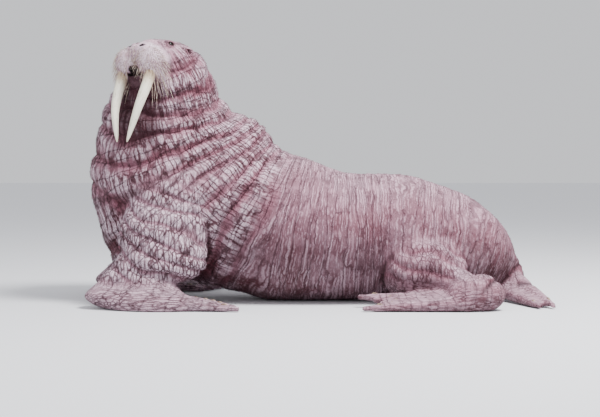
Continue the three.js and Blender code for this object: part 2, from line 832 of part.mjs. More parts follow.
for (const [name, s] of sides) {
  part("eye_" + name, eye(s), "#15100e", 0.1);
  part("ear_" + name, ear(s, EAR_FOLD), "#7a5049", 0.8);
  part("tusk_" + name, tusk(s), "#e8dfc8", 0.35);

  let pad = portion({
    low: headLow,
    high: headHigh,
    cell: 26,
    planes: padBlock(s),
    without: [chinBlock],
  });
  pad = whiskers(s).reduce((all, bristle) => all.add(bristle), pad);
  pad = pad.intersect(enclosed([headPlane([0, 0, 0], [0, s, 0])], GAP / 2));
  part("whisker_pad_" + name, largest(hollowed(pad)), "#a58478", 0.7);
}

const chin = portion({ low: headLow, high: headHigh, cell: 26, planes: chinBlock });
part("lower_jaw", largest(hollowed(chin)), "#94695d", 0.75);

part(
  "neck",
  portion({
    low: [-1400, -600, 800],
    high: [-300, 450, 1560],
    cell: 80,
    planes: [NECK_FOOT, flip(NECK_TOP)],
  }),
  HIDE,
  0.8,
);
part(
  "chest",
  portion({
    low: [-1460, -640, 0],
    high: [-200, 640, 1300],
    cell: 96,
    planes: [flip(NECK_FOOT), CHEST_BACK],
    without: [armBlock(-1), armBlock(1), handBlock(-1), handBlock(1)],
  }),
  HIDE,
  0.8,
);
part(
  "torso",
  portion({
    low: [-760, -560, 0],
    high: [600, 560, 1250],
    cell: 110,
    planes: [flip(CHEST_BACK), LOINS],
    without: [
      ...[armBlock(-1), armBlock(1), handBlock(-1), handBlock(1)],
      ...[legBlock.left, legBlock.right, soleBlock.left],
    ],
  }),
  HIDE,
  0.8,
);
part(
  "rump",
  portion({
    low: [400, -560, 0],
    high: [1330, 560, 900],
    cell: 91,
    planes: [flip(LOINS), flip(TAIL_ROOT)],
    without: [legBlock.left, legBlock.right, soleBlock.left, soleBlock.right],
  }),
  HIDE,
  0.8,
);
part(
  "tail",
  portion({
    low: [1120, -130, 60],
    high: [1400, 120, 420],
    cell: 30,
    planes: [TAIL_ROOT],
    without: [soleBlock.right],
  }),
  HIDE,
  0.8,
);

for (const [name, side] of [["left", -1], ["right", 1]]) {
  const low = [-1600, Math.min(0, side * 850), 0];
  const high = [-330, Math.max(0, side * 850), 780];
  part(
    "fore_leg_" + name,
    portion({ low, high, cell: 70, planes: armBlock(side), without: [handBlock(side)] }),
    HIDE,
    0.8,
  );
  part(
    "fore_flipper_" + name,
    withNails(
      portion({ low, high: [high[0], high[1], 250], cell: [49, 42, 32], planes: handBlock(side) }),
      side < 0 ? limbs.foreLeft.hand : limbs.foreRight.hand,
    ),
    DARK_HIDE,
    0.8,
  );
}

part(
  "hind_leg_left",
  portion({
    low: [380, -800, 0],
    high: [1110, -150, 480],
    cell: 56,
    planes: legBlock.left,
    without: [soleBlock.left],
  }),
  HIDE,
  0.8,
);
part(
  "hind_flipper_left",
  withNails(
    portion({
      low: [200, -800, 0],
      high: [810, -440, 170],
      cell: [48, 32, 28],
      planes: soleBlock.left,
    }),
    limbs.hindLeft.hand,
  ),
  DARK_HIDE,
  0.8,
);
part(
  "hind_leg_right",
  portion({
    low: [460, 150, 0],
    high: [1330, 560, 480],
    cell: 58,
    planes: legBlock.right,
    without: [soleBlock.right],
  }),
  HIDE,
  0.8,
);
part(
  "hind_flipper_right",
  withNails(
    portion({
      low: [1085, -720, 0],
      high: [1480, 60, 270],
      cell: [32, 47, 30],
      planes: soleBlock.right,
    }),
    limbs.hindRight.hand,
  ),
  DARK_HIDE,
  0.8,
);

const walrus = new THREE.Group();
const span = new THREE.Box3();
for (const { name, solid, color, roughness } of PARTS) {
  const material = new THREE.MeshStandardMaterial({ color, roughness, metalness: 0 });
  const mesh = new THREE.Mesh(asGeometry(solid), material);
  mesh.name = name;
  span.expandByObject(mesh);
  walrus.add(mesh);
}
const middle = span.getCenter(new THREE.Vector3());
walrus.position.set(-middle.x, -middle.y, 0);

export default walrus;
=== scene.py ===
# %% [markdown]
# A bull walrus at life size
#
# A walrus bull weighs more than a small car and shows it: the hide is thick, dry and wrinkled, it
# folds into heavy rings wherever the neck bends, and it lies flat on the ground under the belly.
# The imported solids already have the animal's size, pose and proportions. This lesson gives it one
# continuous hide, then the tusks, eyes, whiskers and nails, and last the finishes.

# %% Open the frame
import math
import bpy
import numpy as np
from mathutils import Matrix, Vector


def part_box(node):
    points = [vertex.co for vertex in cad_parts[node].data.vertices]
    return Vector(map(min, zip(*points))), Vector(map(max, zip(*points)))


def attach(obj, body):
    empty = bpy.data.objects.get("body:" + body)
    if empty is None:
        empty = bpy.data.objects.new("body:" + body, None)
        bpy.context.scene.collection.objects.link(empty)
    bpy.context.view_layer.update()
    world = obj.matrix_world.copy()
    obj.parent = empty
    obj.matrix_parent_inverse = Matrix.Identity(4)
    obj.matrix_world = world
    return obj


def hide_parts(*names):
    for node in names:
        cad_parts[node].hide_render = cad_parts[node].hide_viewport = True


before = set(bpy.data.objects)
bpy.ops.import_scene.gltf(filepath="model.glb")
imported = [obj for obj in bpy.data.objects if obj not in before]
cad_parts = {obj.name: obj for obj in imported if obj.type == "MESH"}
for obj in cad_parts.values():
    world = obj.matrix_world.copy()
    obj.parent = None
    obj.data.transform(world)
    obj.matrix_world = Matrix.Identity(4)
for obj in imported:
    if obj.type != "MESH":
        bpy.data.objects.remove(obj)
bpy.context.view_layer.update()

# %% [markdown]
# How the flesh is described
#
# The body is built as a field: a rule that says, for any point in space, about how far it is from
# the surface, with a minus sign inside. Rounded masses and tapered bars are the muscles and bones
# of it, and a soft minimum lets them run into each other as flesh does. Blender's metaballs work
# the same way, but a field of our own can hold flattened masses, can be carved, and can be asked
# for its slope, which later gives a smooth hide of any fineness. Here a field is a function that
# takes an array of points, in millimetres, and gives an array of distances.

# %% Masses, bars and soft joins
def unit(ways):
    """One way, or many, made one long."""
    return ways / np.maximum(np.linalg.norm(ways, axis=-1, keepdims=True), 1e-9)


def turned(pitch, yaw=0.0):
    """Three axes, as columns, turned by pitch about Y and then by yaw about Z, in degrees."""
    p, y = math.radians(pitch), math.radians(yaw)
    about_y = np.array([[math.cos(p), 0, math.sin(p)], [0, 1, 0], [-math.sin(p), 0, math.cos(p)]])
    about_z = np.array([[math.cos(y), -math.sin(y), 0], [math.sin(y), math.cos(y), 0], [0, 0, 1]])
    return about_z @ about_y


def mass(centre, radii, turn=None):
    """A rounded mass: an ellipsoid with its centre, three radii and three axes."""
    centre, radii = np.array(centre, float), np.array(radii, float)

    def field(points):
        local = points - centre
        if turn is not None:
            local = local @ turn
        reach = np.linalg.norm(local / radii, axis=1)
        steep = np.linalg.norm(local / radii**2, axis=1)
        return reach * (reach - 1) / np.maximum(steep, 1e-9)

    return field


def bar(start, end, start_radius, end_radius):
    """A tapered bar with round ends."""
    start, run = np.array(start, float), np.subtract(end, start).astype(float)

    def field(points):
        local = points - start
        share = np.clip(local @ run / (run @ run), 0, 1)
        away = np.linalg.norm(local - share[:, None] * run, axis=1)
        return away - start_radius - share * (end_radius - start_radius)

    return field


def hoop(centre, axes, radius, stretch, thickness):
    """A ring round the first of three axes, stretched along the third one."""

    def field(points):
        away, across, upward = ((points - centre) @ axes).T
        ring = np.hypot(across, upward / stretch) - radius
        return np.hypot(ring, away) - thickness

    return field


def soft_min(a, b, width):
    """The least of two fields, rounded off where they are nearly equal."""
    near = np.maximum(width - np.abs(a - b), 0) / width
    return np.minimum(a, b) - near**2 * width / 4


def away_from(points, *spots):
    """How far each point is from the nearest of some spots."""
    return np.min([np.linalg.norm(points - spot, axis=1) for spot in spots], axis=0)


def blend(width, *fields):
    """Runs several fields together, smoothly over a width."""

    def field(points):
        least = fields[0](points)
        for other in fields[1:]:
            least = soft_min(least, other(points), width)
        return least

    return field


def carve(width, body, *hollows):
    """Takes hollows out of a body, smoothly over a width."""

    def field(points):
        kept = -body(points)
        for hollow in hollows:
            kept = soft_min(kept, hollow(points), width)
        return -kept

    return field


def within(low, high, field, apron=90.0):
    """A field that is only worked out in and near a box; further away, the distance to it."""
    low, high = np.array(low, float), np.array(high, float)

    def boxed(points):
        gap = np.maximum(np.maximum(low - points, points - high), 0)
        away = np.linalg.norm(gap, axis=1)
        near = away <= apron
        if near.any():
            away[near] = field(points[near])
        return away

    return boxed


# %% [markdown]
# The trunk
#
# A walrus lies like a filled sack: widest and lowest behind the ribs, with a clear hump over the
# shoulders, a notch behind the nape, and a neck as thick as the chest. Twelve masses give that
# line.

# %% Trunk
def trunk():
    rear = blend(
        130,
        mass([1015, 0, 252], [205, 225, 216], turned(18)),
        mass([820, 0, 318], [320, 365, 334], turned(6)),
        mass([500, 0, 378], [430, 416, 388]),
        mass([140, 0, 380], [480, 448, 394]),
        mass([-215, 0, 440], [450, 456, 455], turned(14)),
    )
    front = blend(
        90,
        mass([-560, 0, 555], [410, 450, 480]),
        mass([-880, 0, 745], [505, 430, 515]),
        mass([-550, 0, 800], [290, 310, 348], turned(28)),
        mass([-925, -15, 1075], [385, 355, 320]),
        mass([-965, 0, 400], [335, 330, 320]),
    )
    neck = blend(
        70,
        mass([-900, -80, 1270], [292, 290, 230]),
        mass([-878, -128, 1392], [203, 222, 176]),
    )
    return blend(40, blend(110, rear, front), neck)


tail = within(
    [1000, -200, 0],
    [1450, 200, 420],
    blend(
        40,
        bar([1115, 0, 250], [1218, -6, 186], 106, 58),
        bar([1218, -6, 186], [1262, -12, 146], 54, 26),
    ),
)

# %% [markdown]
# The head
#
# The head is turned to the animal's left and tipped up a little, so it is described in a frame of
# its own: forwards, to the animal's left, and up towards the crown, from midway between the eyes.
# The muzzle is two great cushions of gristle that carry the whiskers and hide the roots of the
# tusks. The skull behind them is low and broad, and the eyes sit high and wide on short swellings.

# %% Head
HEAD_AT = np.array([-974.0, -200.0, 1535.0])
HEAD_YAW, HEAD_PITCH = math.radians(58), math.radians(15)
EYE_RADIUS = 19.0

level = np.array([-math.cos(HEAD_YAW), -math.sin(HEAD_YAW), 0])
up = np.array([0, 0, 1.0])
forward = level * math.cos(HEAD_PITCH) + up * math.sin(HEAD_PITCH)
leftward = np.cross(up, level)
crownward = np.cross(forward, leftward)
head_axes = np.stack([forward, leftward, crownward], axis=1)


def from_head(f, l, u):
    """A place given by how far forward, to the left and crownward it is from the eyes' middle."""
    return HEAD_AT + head_axes @ np.array([f, l, u], float)


def head_way(f, l, u):
    """A way given by its forward, leftward and crownward parts, made one long."""
    return unit(head_axes @ np.array([f, l, u], float))


def in_head(field):
    """A field that is written in the head's frame, as a field in the animal's."""
    return lambda points: field((points - HEAD_AT) @ head_axes)


SIDES = {"left": 1, "right": -1}  # signs along the head's leftward axis


def both_sides(make):
    """What make gives for the left side and for the right side."""
    return [make(s) for s in SIDES.values()]


def head_flesh():
    skull = blend(
        40,
        mass([-100, 0, -72], [172, 132, 112]),
        mass([-14, 0, -26], [114, 90, 64]),
        mass([78, 0, -80], [78, 74, 56]),
        *both_sides(lambda s: mass([-22, s * 84, -112], [112, 66, 86])),
        *both_sides(lambda s: mass([-2, s * 93, -8], [42, 20, 28])),
    )
    muzzle = blend(
        20,
        *both_sides(lambda s: mass([84, s * 80, -130], [94, 88, 88])),
        *both_sides(lambda s: mass([62, s * 104, -180], [58, 54, 44])),
        mass([124, 0, -72], [44, 66, 36]),
    )
    jaw = blend(
        30,
        mass([34, 0, -238], [74, 60, 42]),
        bar([20, 0, -215], [-150, 0, -190], 60, 105),
    )
    return in_head(blend(18, blend(30, skull, muzzle), jaw))


# %% [markdown]
# The limbs
#
# All four limbs end in flippers: five long digits with webs between them. A fore flipper lies flat
# and points out and back, and the animal leans on its heel and wrist. The left hind flipper is
# folded forwards under the hip and the right one trails out behind, its digits closed.

# %% Limbs
def flipper(wrist, heading, side, roots, tips, thick):
    """Digits that fan out from the wrist with webs between them: field, digits and placing.

    roots and tips are places ahead of the wrist, aside of it and above the floor. side is 1 or -1
    and mirrors them. thick has the radii of a digit at its root and at its tip.
    """
    turn = math.radians(heading)
    ahead = np.array([math.cos(turn), math.sin(turn), 0])
    aside = np.array([-math.sin(turn), math.cos(turn), 0]) * side

    def place(spot):
        return np.array([*wrist, 0.0]) + spot[0] * ahead + spot[1] * aside + [0, 0, spot[2]]

    roots, tips = np.array(roots, float), np.array(tips, float)
    ends = [(place(root), place(tip), thick) for root, tip in zip(roots, tips)]
    webs = []
    for i in range(len(tips) - 1):
        for share in (0.2, 0.4, 0.6, 0.8):
            root, tip = (row[i] + (row[i + 1] - row[i]) * share for row in (roots, tips))
            end = root + (tip - root) * (0.98 - 0.52 * share * (1 - share))
            webs.append(bar(place(root), place(end), thick[0] * 0.7, thick[1] * 0.62))
    return blend(24, *webs, *[bar(root, tip, *thick) for root, tip, _ in ends]), ends, place


def fore_limb(side, at, heading):
    """The field and the digits of a fore limb. side is the sign of Y where it lies."""
    x, y = at
    hand, digits, place = flipper(
        wrist=at,
        heading=heading,
        side=side,
        roots=[[-130, 112, 56], [-120, 60, 58], [-110, 8, 58], [-100, -44, 54], [-90, -86, 46]],
        tips=[[484, 112, 13], [440, 30, 13], [385, -46, 13], [325, -108, 13], [258, -156, 13]],
        thick=[50, 16],
    )
    heel, ball = place([-245, 30, 0]), place([-40, 62, 0])
    arm = blend(
        70,
        mass([x + 65, side * 330, 600], [265, 165, 255]),
        mass([x + 8, side * 390, 405], [262, 168, 205]),
        mass([x + 22, side * 436, 262], [236, 150, 128]),
    )
    palm = blend(
        50,
        mass([heel[0], heel[1], 58], [192, 118, 60], turned(4, heading)),
        mass([ball[0], ball[1], 26], [270, 130, 100], turned(4, heading)),
        mass([x - 60, y - side * 20, 120], [190, 112, 100], turned(22, heading)),
        bar([x - 335, y - side * 10, 86], [x - 150, y - side * 70, 285], 58, 84),
    )
    low = [x - 460, min(side * 170, side * 760), 0]
    high = [x + 560, max(side * 170, side * 760), 870]
    return within(low, high, blend(26, arm, blend(45, palm, hand))), digits


def hind_limb(thigh, shank, heel, foot, low, high):
    """The field and the digits of a hind limb that is only worked out near the box low to high."""
    sole, digits, _ = flipper(**foot)
    leg = blend(60, mass(*thigh), bar(*shank, 105, 84), mass(*heel))
    return within(low, high, blend(36, leg, sole)), digits


LEFT_FOOT = {
    "wrist": [820, -600],
    "heading": 177,
    "side": 1,
    "roots": [[-30, 66, 40], [-10, 34, 42], [0, 0, 46], [-10, -34, 52], [-30, -66, 58]],
    "tips": [[545, 100, 16], [472, 52, 20], [446, 2, 32], [482, -48, 48], [572, -98, 60]],
    "thick": [40, 17],
}
RIGHT_FOOT = {
    "wrist": [1165, 0],
    "heading": -74,
    "side": 1,
    "roots": [[-40, 56, 160], [-20, 30, 136], [-10, 2, 110], [-20, -26, 84], [-40, -52, 62]],
    "tips": [[590, 36, 16], [520, 24, 22], [496, 4, 20], [510, -18, 17], [566, -42, 13]],
    "thick": [44, 13],
}
limbs = {
    "fore_left": fore_limb(-1, [-905, -505], -8),
    "fore_right": fore_limb(1, [-1015, 505], 8),
    "hind_left": hind_limb(
        thigh=([640, -345, 198], [250, 170, 202]),
        shank=([770, -420, 150], [925, -580, 90]),
        heel=([905, -606, 88], [166, 98, 108]),
        foot=LEFT_FOOT,
        low=[200, -760, 0],
        high=[1120, -150, 430],
    ),
    "hind_right": hind_limb(
        thigh=([720, 320, 195], [250, 160, 195]),
        shank=([870, 290, 160], [1105, 100, 140]),
        heel=([1140, 60, 112], [118, 92, 104]),
        foot=RIGHT_FOOT,
        low=[420, -680, 0],
        high=[1480, 560, 430],
    ),
}
limb_fields = [field for field, _ in limbs.values()]

# %% The whole animal
HEAD_BOX = ([-1330, -560, 1150], [-640, 120, 1680])
trunk_field = trunk()
head_field = within(*HEAD_BOX, head_flesh())
flesh = blend(42, blend(60, trunk_field, head_field, tail), *limb_fields[:2])
flesh = blend(48, flesh, *limb_fields[2:])
print("flesh: trunk, head, tail and", len(limbs), "limbs")


# %% [markdown]
# Places on the head
#
# Eyes, ears and whiskers are set where a line from inside the head leaves the flesh. The same
# search placed the solid eyes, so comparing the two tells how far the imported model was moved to
# bring its origin under the middle of its bounding box. Everything below uses that shift.

# %% Places on the head
def on_flesh(start, way, field):
    """Where lines from inside the flesh leave it: start and way are arrays of points and ways."""
    places = np.array(start, float).reshape(-1, 3).copy()
    ways = np.array(way, float).reshape(-1, 3)
    active = np.ones(len(places), bool)
    for _ in range(60):
        depth = -field(places[active])
        places[active] += ways[active] * (np.maximum(0.2, depth) * 0.7)[:, None]
        still = field(places[active]) <= -0.1
        active[np.flatnonzero(active)[~still]] = False
        if not active.any():
            break
    return places


def pair_on_head(inside, way, sunk=0.0):
    """For each side, a place on the flesh that is seen from a place inside, and the way there."""
    ways = {s: head_way(way[0], way[1] * s, way[2]) for s in SIDES.values()}
    starts = {s: from_head(inside[0], inside[1] * s, inside[2]) for s in ways}
    return {s: on_flesh(starts[s], ways[s], flesh)[0] - ways[s] * sunk for s in ways}, ways


eye_at, eye_way = pair_on_head((-16, 50, -4), (0.3, 1, 0.1), EYE_RADIUS * 0.42)
ear_at, _ = pair_on_head((-72, 78, -26), (-0.1, 1, 0.1))
nostril_at, nostril_way = pair_on_head((80, 40, -86), (0.86, 0.1, 0.5))
small_forms = [at[s] for at in (eye_at, ear_at, nostril_at) for s in SIDES.values()]


def box_middle(node):
    """The middle of a solid's box, in millimetres."""
    low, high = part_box(node)
    return np.array((Vector(low) + Vector(high)) / 2) * 1000


SHIFT = (box_middle("eye_left") - eye_at[1] + box_middle("eye_right") - eye_at[-1]) / 2
SHIFT[2] = 0.0
print("the packed model is moved by", SHIFT.round(1), "mm in plan")


def in_metres(points):
    """Places of the lesson's own frame, in millimetres, as places of the scene, in metres."""
    return (np.asarray(points) + SHIFT) / 1000


# %% [markdown]
# Fine forms of the head
#
# Lids are a thin shell over the eyeball with an almond opening. Nostrils are two slanting slits
# high on the front of the muzzle. The mouth is a crease that opens into an arch where the whisker
# pads part. A walrus has no ear flap, only a small hole inside a ring of skin. All of these are
# carved into the field, so that the hide stays one piece without a seam.

# %% Lids, nostrils, mouth and ears
def axes_for(way, upward):
    """Three axes, as columns: along a way, across it, and the one nearest to upward."""
    across = unit(np.cross(upward, way))
    return np.stack([way, across, np.cross(way, across)], axis=1)


def fine_flesh():
    """The flesh with its fine forms, and how far a point is from the nearest opening."""
    swellings, hollows, sharp, dark = [], [], [], []
    for s in SIDES.values():
        eye, way = eye_at[s], eye_way[s]
        look = axes_for(way, crownward)
        swellings.append(mass(eye, [EYE_RADIUS + 5] * 3))
        swellings.append(mass(eye + way * 2 + crownward * 15, [16, 32, 8], look))
        swellings.append(mass(eye + way * 2 - crownward * 16, [16, 28, 6], look))
        sharp.append(mass(eye + way * (EYE_RADIUS + 4), [14, 18, 9], look))
        nostril, way = nostril_at[s], nostril_way[s]
        flare = axes_for(way, head_way(-0.35, s * 0.75, 0.5))
        swellings.append(mass(nostril, [8, 30, 22], flare))
        hollows.append(mass(nostril + way * 8, [15, 10, 21], flare))
        dark.append(hollows[-1])
        way = head_way(0.15, s, 0.1)
        ear, fold = ear_at[s] - way * 2, axes_for(way, crownward)
        swellings.append(hoop(ear, fold, 20, 1.25, 8.5))
        hollows.append(mass(ear + way * 5, [14, 13, 17], fold))
        dark.append(mass(ear - way * 3, [9, 6, 9], fold))
    lip_line, arch = mass([92, 0, -212], [74, 60, 7]), mass([112, 0, -186], [56, 44, 25])
    mouth = in_head(blend(6, lip_line, arch))
    lined = blend(14, flesh, *[within(*HEAD_BOX, f, 60) for f in swellings])
    opened = carve(5, lined, *hollows, mouth)

    # Near these openings the hide is painted in shade, and no tuft or whisker grows.
    def from_opening(points):
        return np.min([opening(points) for opening in (*dark, mouth, *sharp)], axis=0)

    return carve(2, opened, *sharp), from_opening


fine, from_opening = fine_flesh()


def on_floor(points):
    """The whole animal, flattened where it meets the floor, with a soft edge."""
    return -soft_min(-fine(points), points[:, 2] - 0.6, 16)


# %% [markdown]
# From field to hide
#
# First a plain net: space is cut into cells, each cell that the surface crosses gets one vertex,
# and each grid edge that crosses it gets one face. Then the net is made finer only where detail
# is wanted, such as the lids, by splitting every edge that is longer than the wanted length there,
# and every vertex slides along the field's slope until it lies on the surface. Blender's remesh
# modifier would give the same fineness everywhere and spend most of it on the belly.

# %% Net of cells
CORNERS = np.array([[c & 1, (c >> 1) & 1, c >> 2] for c in range(8)])
CELL_EDGES = [(a, a | bit) for a in range(8) for bit in (1, 2, 4) if not a & bit]
JUST_OUTSIDE = 1e-3


def hang_together(code, wanted):
    """Whether the corners of a cell whose bit in its code is the wanted one form one group."""
    mine = [c for c in range(8) if (code >> c) & 1 == wanted]
    reached = mine[:1]
    for c in reached:
        reached += [d for d in (c ^ 1, c ^ 2, c ^ 4) if d in mine and d not in reached]
    return len(reached) == len(mine)


def net_of(field, low, high, cell):
    """Vertices and quads of the surface inside a box."""
    low = np.array(low, float)
    count = np.ceil((np.array(high) - low) / cell).astype(int) + 1
    grid = low + np.indices(count).reshape(3, -1).T * cell
    values = field(grid).reshape(count)
    simple = np.array([hang_together(code, 0) and hang_together(code, 1) for code in range(256)])
    while True:
        inside = values < 0
        code = np.zeros(count - 1, int)
        for bit, (x, y, z) in enumerate(CORNERS):
            xs, ys, zs = (slice(c, n - 1 + c) for c, n in zip((x, y, z), count))
            code |= inside[xs, ys, zs].astype(int) << bit
        knots = np.argwhere(~simple[code])
        if not len(knots):
            break
        for cell_at in knots:
            spots = [tuple(cell_at + c) for c in CORNERS]
            inner = [s for s in spots if values[s] < 0]
            if inner:
                values[max(inner, key=lambda s: values[s])] = JUST_OUTSIDE
    crossed = np.argwhere((code > 0) & (code < 255))
    slot = np.full(count - 1, -1)
    slot[tuple(crossed.T)] = np.arange(len(crossed))
    corner = np.stack([values[tuple((crossed + c).T)] for c in CORNERS], axis=1)
    total, hits = np.zeros((len(crossed), 3)), np.zeros(len(crossed))
    for a, b in CELL_EDGES:
        cut = (corner[:, a] < 0) != (corner[:, b] < 0)
        share = corner[cut, a] / (corner[cut, a] - corner[cut, b])
        total[cut] += CORNERS[a] + share[:, None] * (CORNERS[b] - CORNERS[a])
        hits[cut] += 1
    vertices = low + (crossed + total / hits[:, None]) * cell
    quads = []
    for axis in range(3):
        step, p, q = np.eye(3, dtype=int)[[axis, (axis + 1) % 3, (axis + 2) % 3]]
        here = inside[: count[0] - step[0], : count[1] - step[1], : count[2] - step[2]]
        there = inside[step[0] :, step[1] :, step[2] :]
        ends = np.argwhere(here != there)
        ends = ends[(ends[:, (axis + 1) % 3] > 0) & (ends[:, (axis + 2) % 3] > 0)]
        ends = ends[np.all(ends < count - 1, axis=1)]
        ring = np.stack([slot[tuple((ends - o).T)] for o in (0 * p, p, p + q, q)], axis=1)
        outward = here[tuple(ends.T)]
        ring[~outward] = ring[~outward][:, ::-1]
        quads.append(ring)
    return vertices, np.concatenate(quads)


# %% Settling and splitting
def slope(field, points, step=0.6):
    """The way in which a field grows fastest at each point."""
    way = np.empty_like(points)
    for axis in range(3):
        nudge = np.zeros(3)
        nudge[axis] = step
        way[:, axis] = (field(points + nudge) - field(points - nudge)) / (2 * step)
    return way


def settled(field, points, rounds=2, most=12.0):
    """Points moved along the slope onto the surface."""
    points = points.copy()
    for _ in range(rounds):
        way = slope(field, points)
        move = -way * (field(points) / np.maximum((way**2).sum(1), 0.05))[:, None]
        length = np.linalg.norm(move, axis=1)
        points += move * np.minimum(1, most / np.maximum(length, 1e-9))[:, None]
    return points


def edges_of(faces):
    """Each edge once, and for each face the numbers of its three edges."""
    pairs = np.sort(np.stack([faces, np.roll(faces, -1, axis=1)], axis=2).reshape(-1, 2), axis=1)
    edges, where = np.unique(pairs, axis=0, return_inverse=True)
    return edges, where.reshape(-1, 3)


def split_long(points, faces, wanted):
    """Splits every edge that is longer than the wanted length at its middle."""
    edges, of_face = edges_of(faces)
    middle = points[edges].mean(1)
    long = np.linalg.norm(points[edges[:, 0]] - points[edges[:, 1]], axis=1) > wanted(middle)
    new = np.full(len(edges), -1)
    new[long] = len(points) + np.arange(long.sum())
    points = np.concatenate([points, middle[long]])
    halves = new[of_face]
    count = (halves >= 0).sum(1)
    made = [faces[count == 0]]

    def add(*triangles, kept=slice(None)):
        made.extend(np.stack(corners, axis=1)[kept] for corners in triangles)

    (a, b, c), (ab, bc, ca) = faces[count == 3].T, halves[count == 3].T
    add((a, ab, ca), (ab, b, bc), (ca, bc, c), (ab, bc, ca))
    for turn in range(3):
        f, h = np.roll(faces, -turn, axis=1), np.roll(halves, -turn, axis=1)
        one = (count == 1) & (h[:, 0] >= 0)
        (a, b, c), ab = f[one].T, h[one, 0]
        add((a, ab, c), (ab, b, c))
        two = (count == 2) & (h[:, 2] < 0)
        (a, b, c), (ab, bc, _) = f[two].T, h[two].T
        add((ab, b, bc))
        one_way, other_way = points[a] - points[bc], points[ab] - points[c]
        first = np.linalg.norm(one_way, axis=1) < np.linalg.norm(other_way, axis=1)
        add((a, ab, bc), (a, bc, c), kept=first)
        add((a, ab, c), (ab, bc, c), kept=~first)
    return points, np.concatenate(made), int(long.sum())


def relaxed(points, faces, share=0.5):
    """Each point moved part of the way to the middle of its neighbours."""
    edges, _ = edges_of(faces)
    total, count = np.zeros_like(points), np.zeros(len(points))
    for near, far in ((0, 1), (1, 0)):
        np.add.at(total, edges[:, near], points[edges[:, far]])
        np.add.at(count, edges[:, near], 1)
    return points + (total / count[:, None] - points) * share


# %% [markdown]
# How fine the hide is
#
# The wanted length of an edge is a few millimetres at the lids and nostrils, a little more over
# the whisker pads, and two to three centimetres along the flanks.

# %% Build the hide
MUZZLE_AT = from_head(70, 0, -120)
NET_LOW, NET_HIGH = [-1480, -760, -30], [1480, 760, 1640]
BASE_CELL = 23.0
COARSER = 1.0
FEW_SPLITS = 200  # when a round splits fewer edges than this, the mesh is fine enough


def fineness(points):
    """The wanted length of an edge at each point, in millimetres."""

    def grows(near, start, rate, *spots):
        return near + rate * np.maximum(0, away_from(points, *spots) - start)

    muzzle = grows(6.8, 185, 0.08, MUZZLE_AT)
    eyes = grows(2.7, 32, 0.17, *eye_at.values())
    slits = grows(3.8, 36, 0.17, *nostril_at.values(), *ear_at.values())
    folds = np.where((points[:, 0] < -250) & (points[:, 2] > 120), 17.5, 30.0)
    thin = 16.5 + np.maximum(0, points[:, 2] - 140) * 0.2
    hands = np.where((np.abs(points[:, 1]) > 330) | (points[:, 0] > 1120), thin, 30.0)
    return np.minimum.reduce([muzzle, eyes, slits, folds, hands]) * COARSER


points, quads = net_of(on_floor, NET_LOW, NET_HIGH, BASE_CELL)
faces = np.concatenate([quads[:, [0, 1, 2]], quads[:, [0, 2, 3]]])
print("net:", len(points), "vertices,", len(faces), "triangles")
for _ in range(5):
    points, faces, splits = split_long(points, faces, fineness)
    points = settled(on_floor, relaxed(points, faces), 1)
    if splits < FEW_SPLITS:
        break
points = settled(on_floor, points, 2)
print("hide:", len(points), "vertices,", len(faces), "triangles")


# %% [markdown]
# Folds and wrinkles
#
# The hide is too big for the body. Rings of it run round the neck, broken into knobs on a bull,
# and shallower ones run down the flanks. To place them, each point gets an address: how far along
# the spine it lies, and the angle round it. The folds are ridges in that address, bent and broken
# by smooth noise, and they push the surface out or in by less than two centimetres.

# %% Smooth noise
HASH_AXES = np.array([73856093, 19349663, 83492791], np.uint64)
HASH_SEED = 2654435761
HASH_FIRST, HASH_SECOND = np.uint64(0x9E3779B97F4A7C15), np.uint64(0xBF58476D1CE4E5B9)


def cloud(points, size, seed):
    """Smooth noise between -1 and 1 that changes over about the given size."""
    scaled = points / size
    cell = np.floor(scaled).astype(np.int64)
    part = scaled - cell
    part = part * part * (3 - 2 * part)
    total = np.zeros(len(points))
    for corner in CORNERS:
        mixed = np.bitwise_xor.reduce((cell + corner).astype(np.uint64) * HASH_AXES, axis=1)
        mixed = (mixed ^ np.uint64(seed * HASH_SEED)) * HASH_FIRST
        mixed = (mixed ^ mixed >> np.uint64(29)) * HASH_SECOND
        value = (mixed >> np.uint64(40)).astype(float) / 2**23 - 1
        total += value * np.prod(np.where(corner, part, 1 - part), axis=1)
    return total


def step_up(value, start, end):
    """0 before start, 1 after end, and smooth between."""
    share = np.clip((value - start) / (end - start), 0, 1)
    return share * share * (3 - 2 * share)


# %% Address along the spine
SPINE = np.array([
    *([1250, 0, 190], [900, 0, 320], [500, 0, 380], [100, 0, 390], [-250, 0, 440]),
    *([-560, 0, 600], [-790, -5, 840], [-880, -30, 1080], [-915, -90, 1300], [-960, -150, 1440]),
], float)


def spine_address(points, path=SPINE):
    """Millimetres along the spine, the two parts of the way out from it, and its own way."""
    weight, along = np.zeros(len(points)), np.zeros(len(points))
    centre, run = np.zeros_like(points), np.zeros_like(points)
    start = 0.0
    for a, b in zip(path[:-1], path[1:]):
        step = b - a
        length = np.linalg.norm(step)
        share = np.clip((points - a) @ step / length**2, 0, 1)
        near = a + share[:, None] * step
        w = 1 / (np.linalg.norm(points - near, axis=1) ** 6 + 1)
        weight += w
        along += w * (start + share * length)
        centre += w[:, None] * near
        run += w[:, None] * step / length
        start += length
    along, centre, run = along / weight, centre / weight[:, None], run / weight[:, None]
    out = points - centre
    side = out[:, 1]
    lift = out[:, 2] * -run[:, 0] + out[:, 0] * run[:, 2]
    size = np.maximum(np.hypot(side, lift), 1)
    return along, side / size, lift / size, unit(run)


along, sideways, upright, headward = spine_address(points)
address = np.stack([along, sideways * 330, upright * 330], axis=1)
print("spine:", round(float(along.max())), "mm long")


# %% Relief
def ridges(phase, sharp=0.7):
    """Rounded crests with sharp valleys between them, from 0 to 1."""
    return np.abs(np.sin(np.pi * phase)) ** sharp


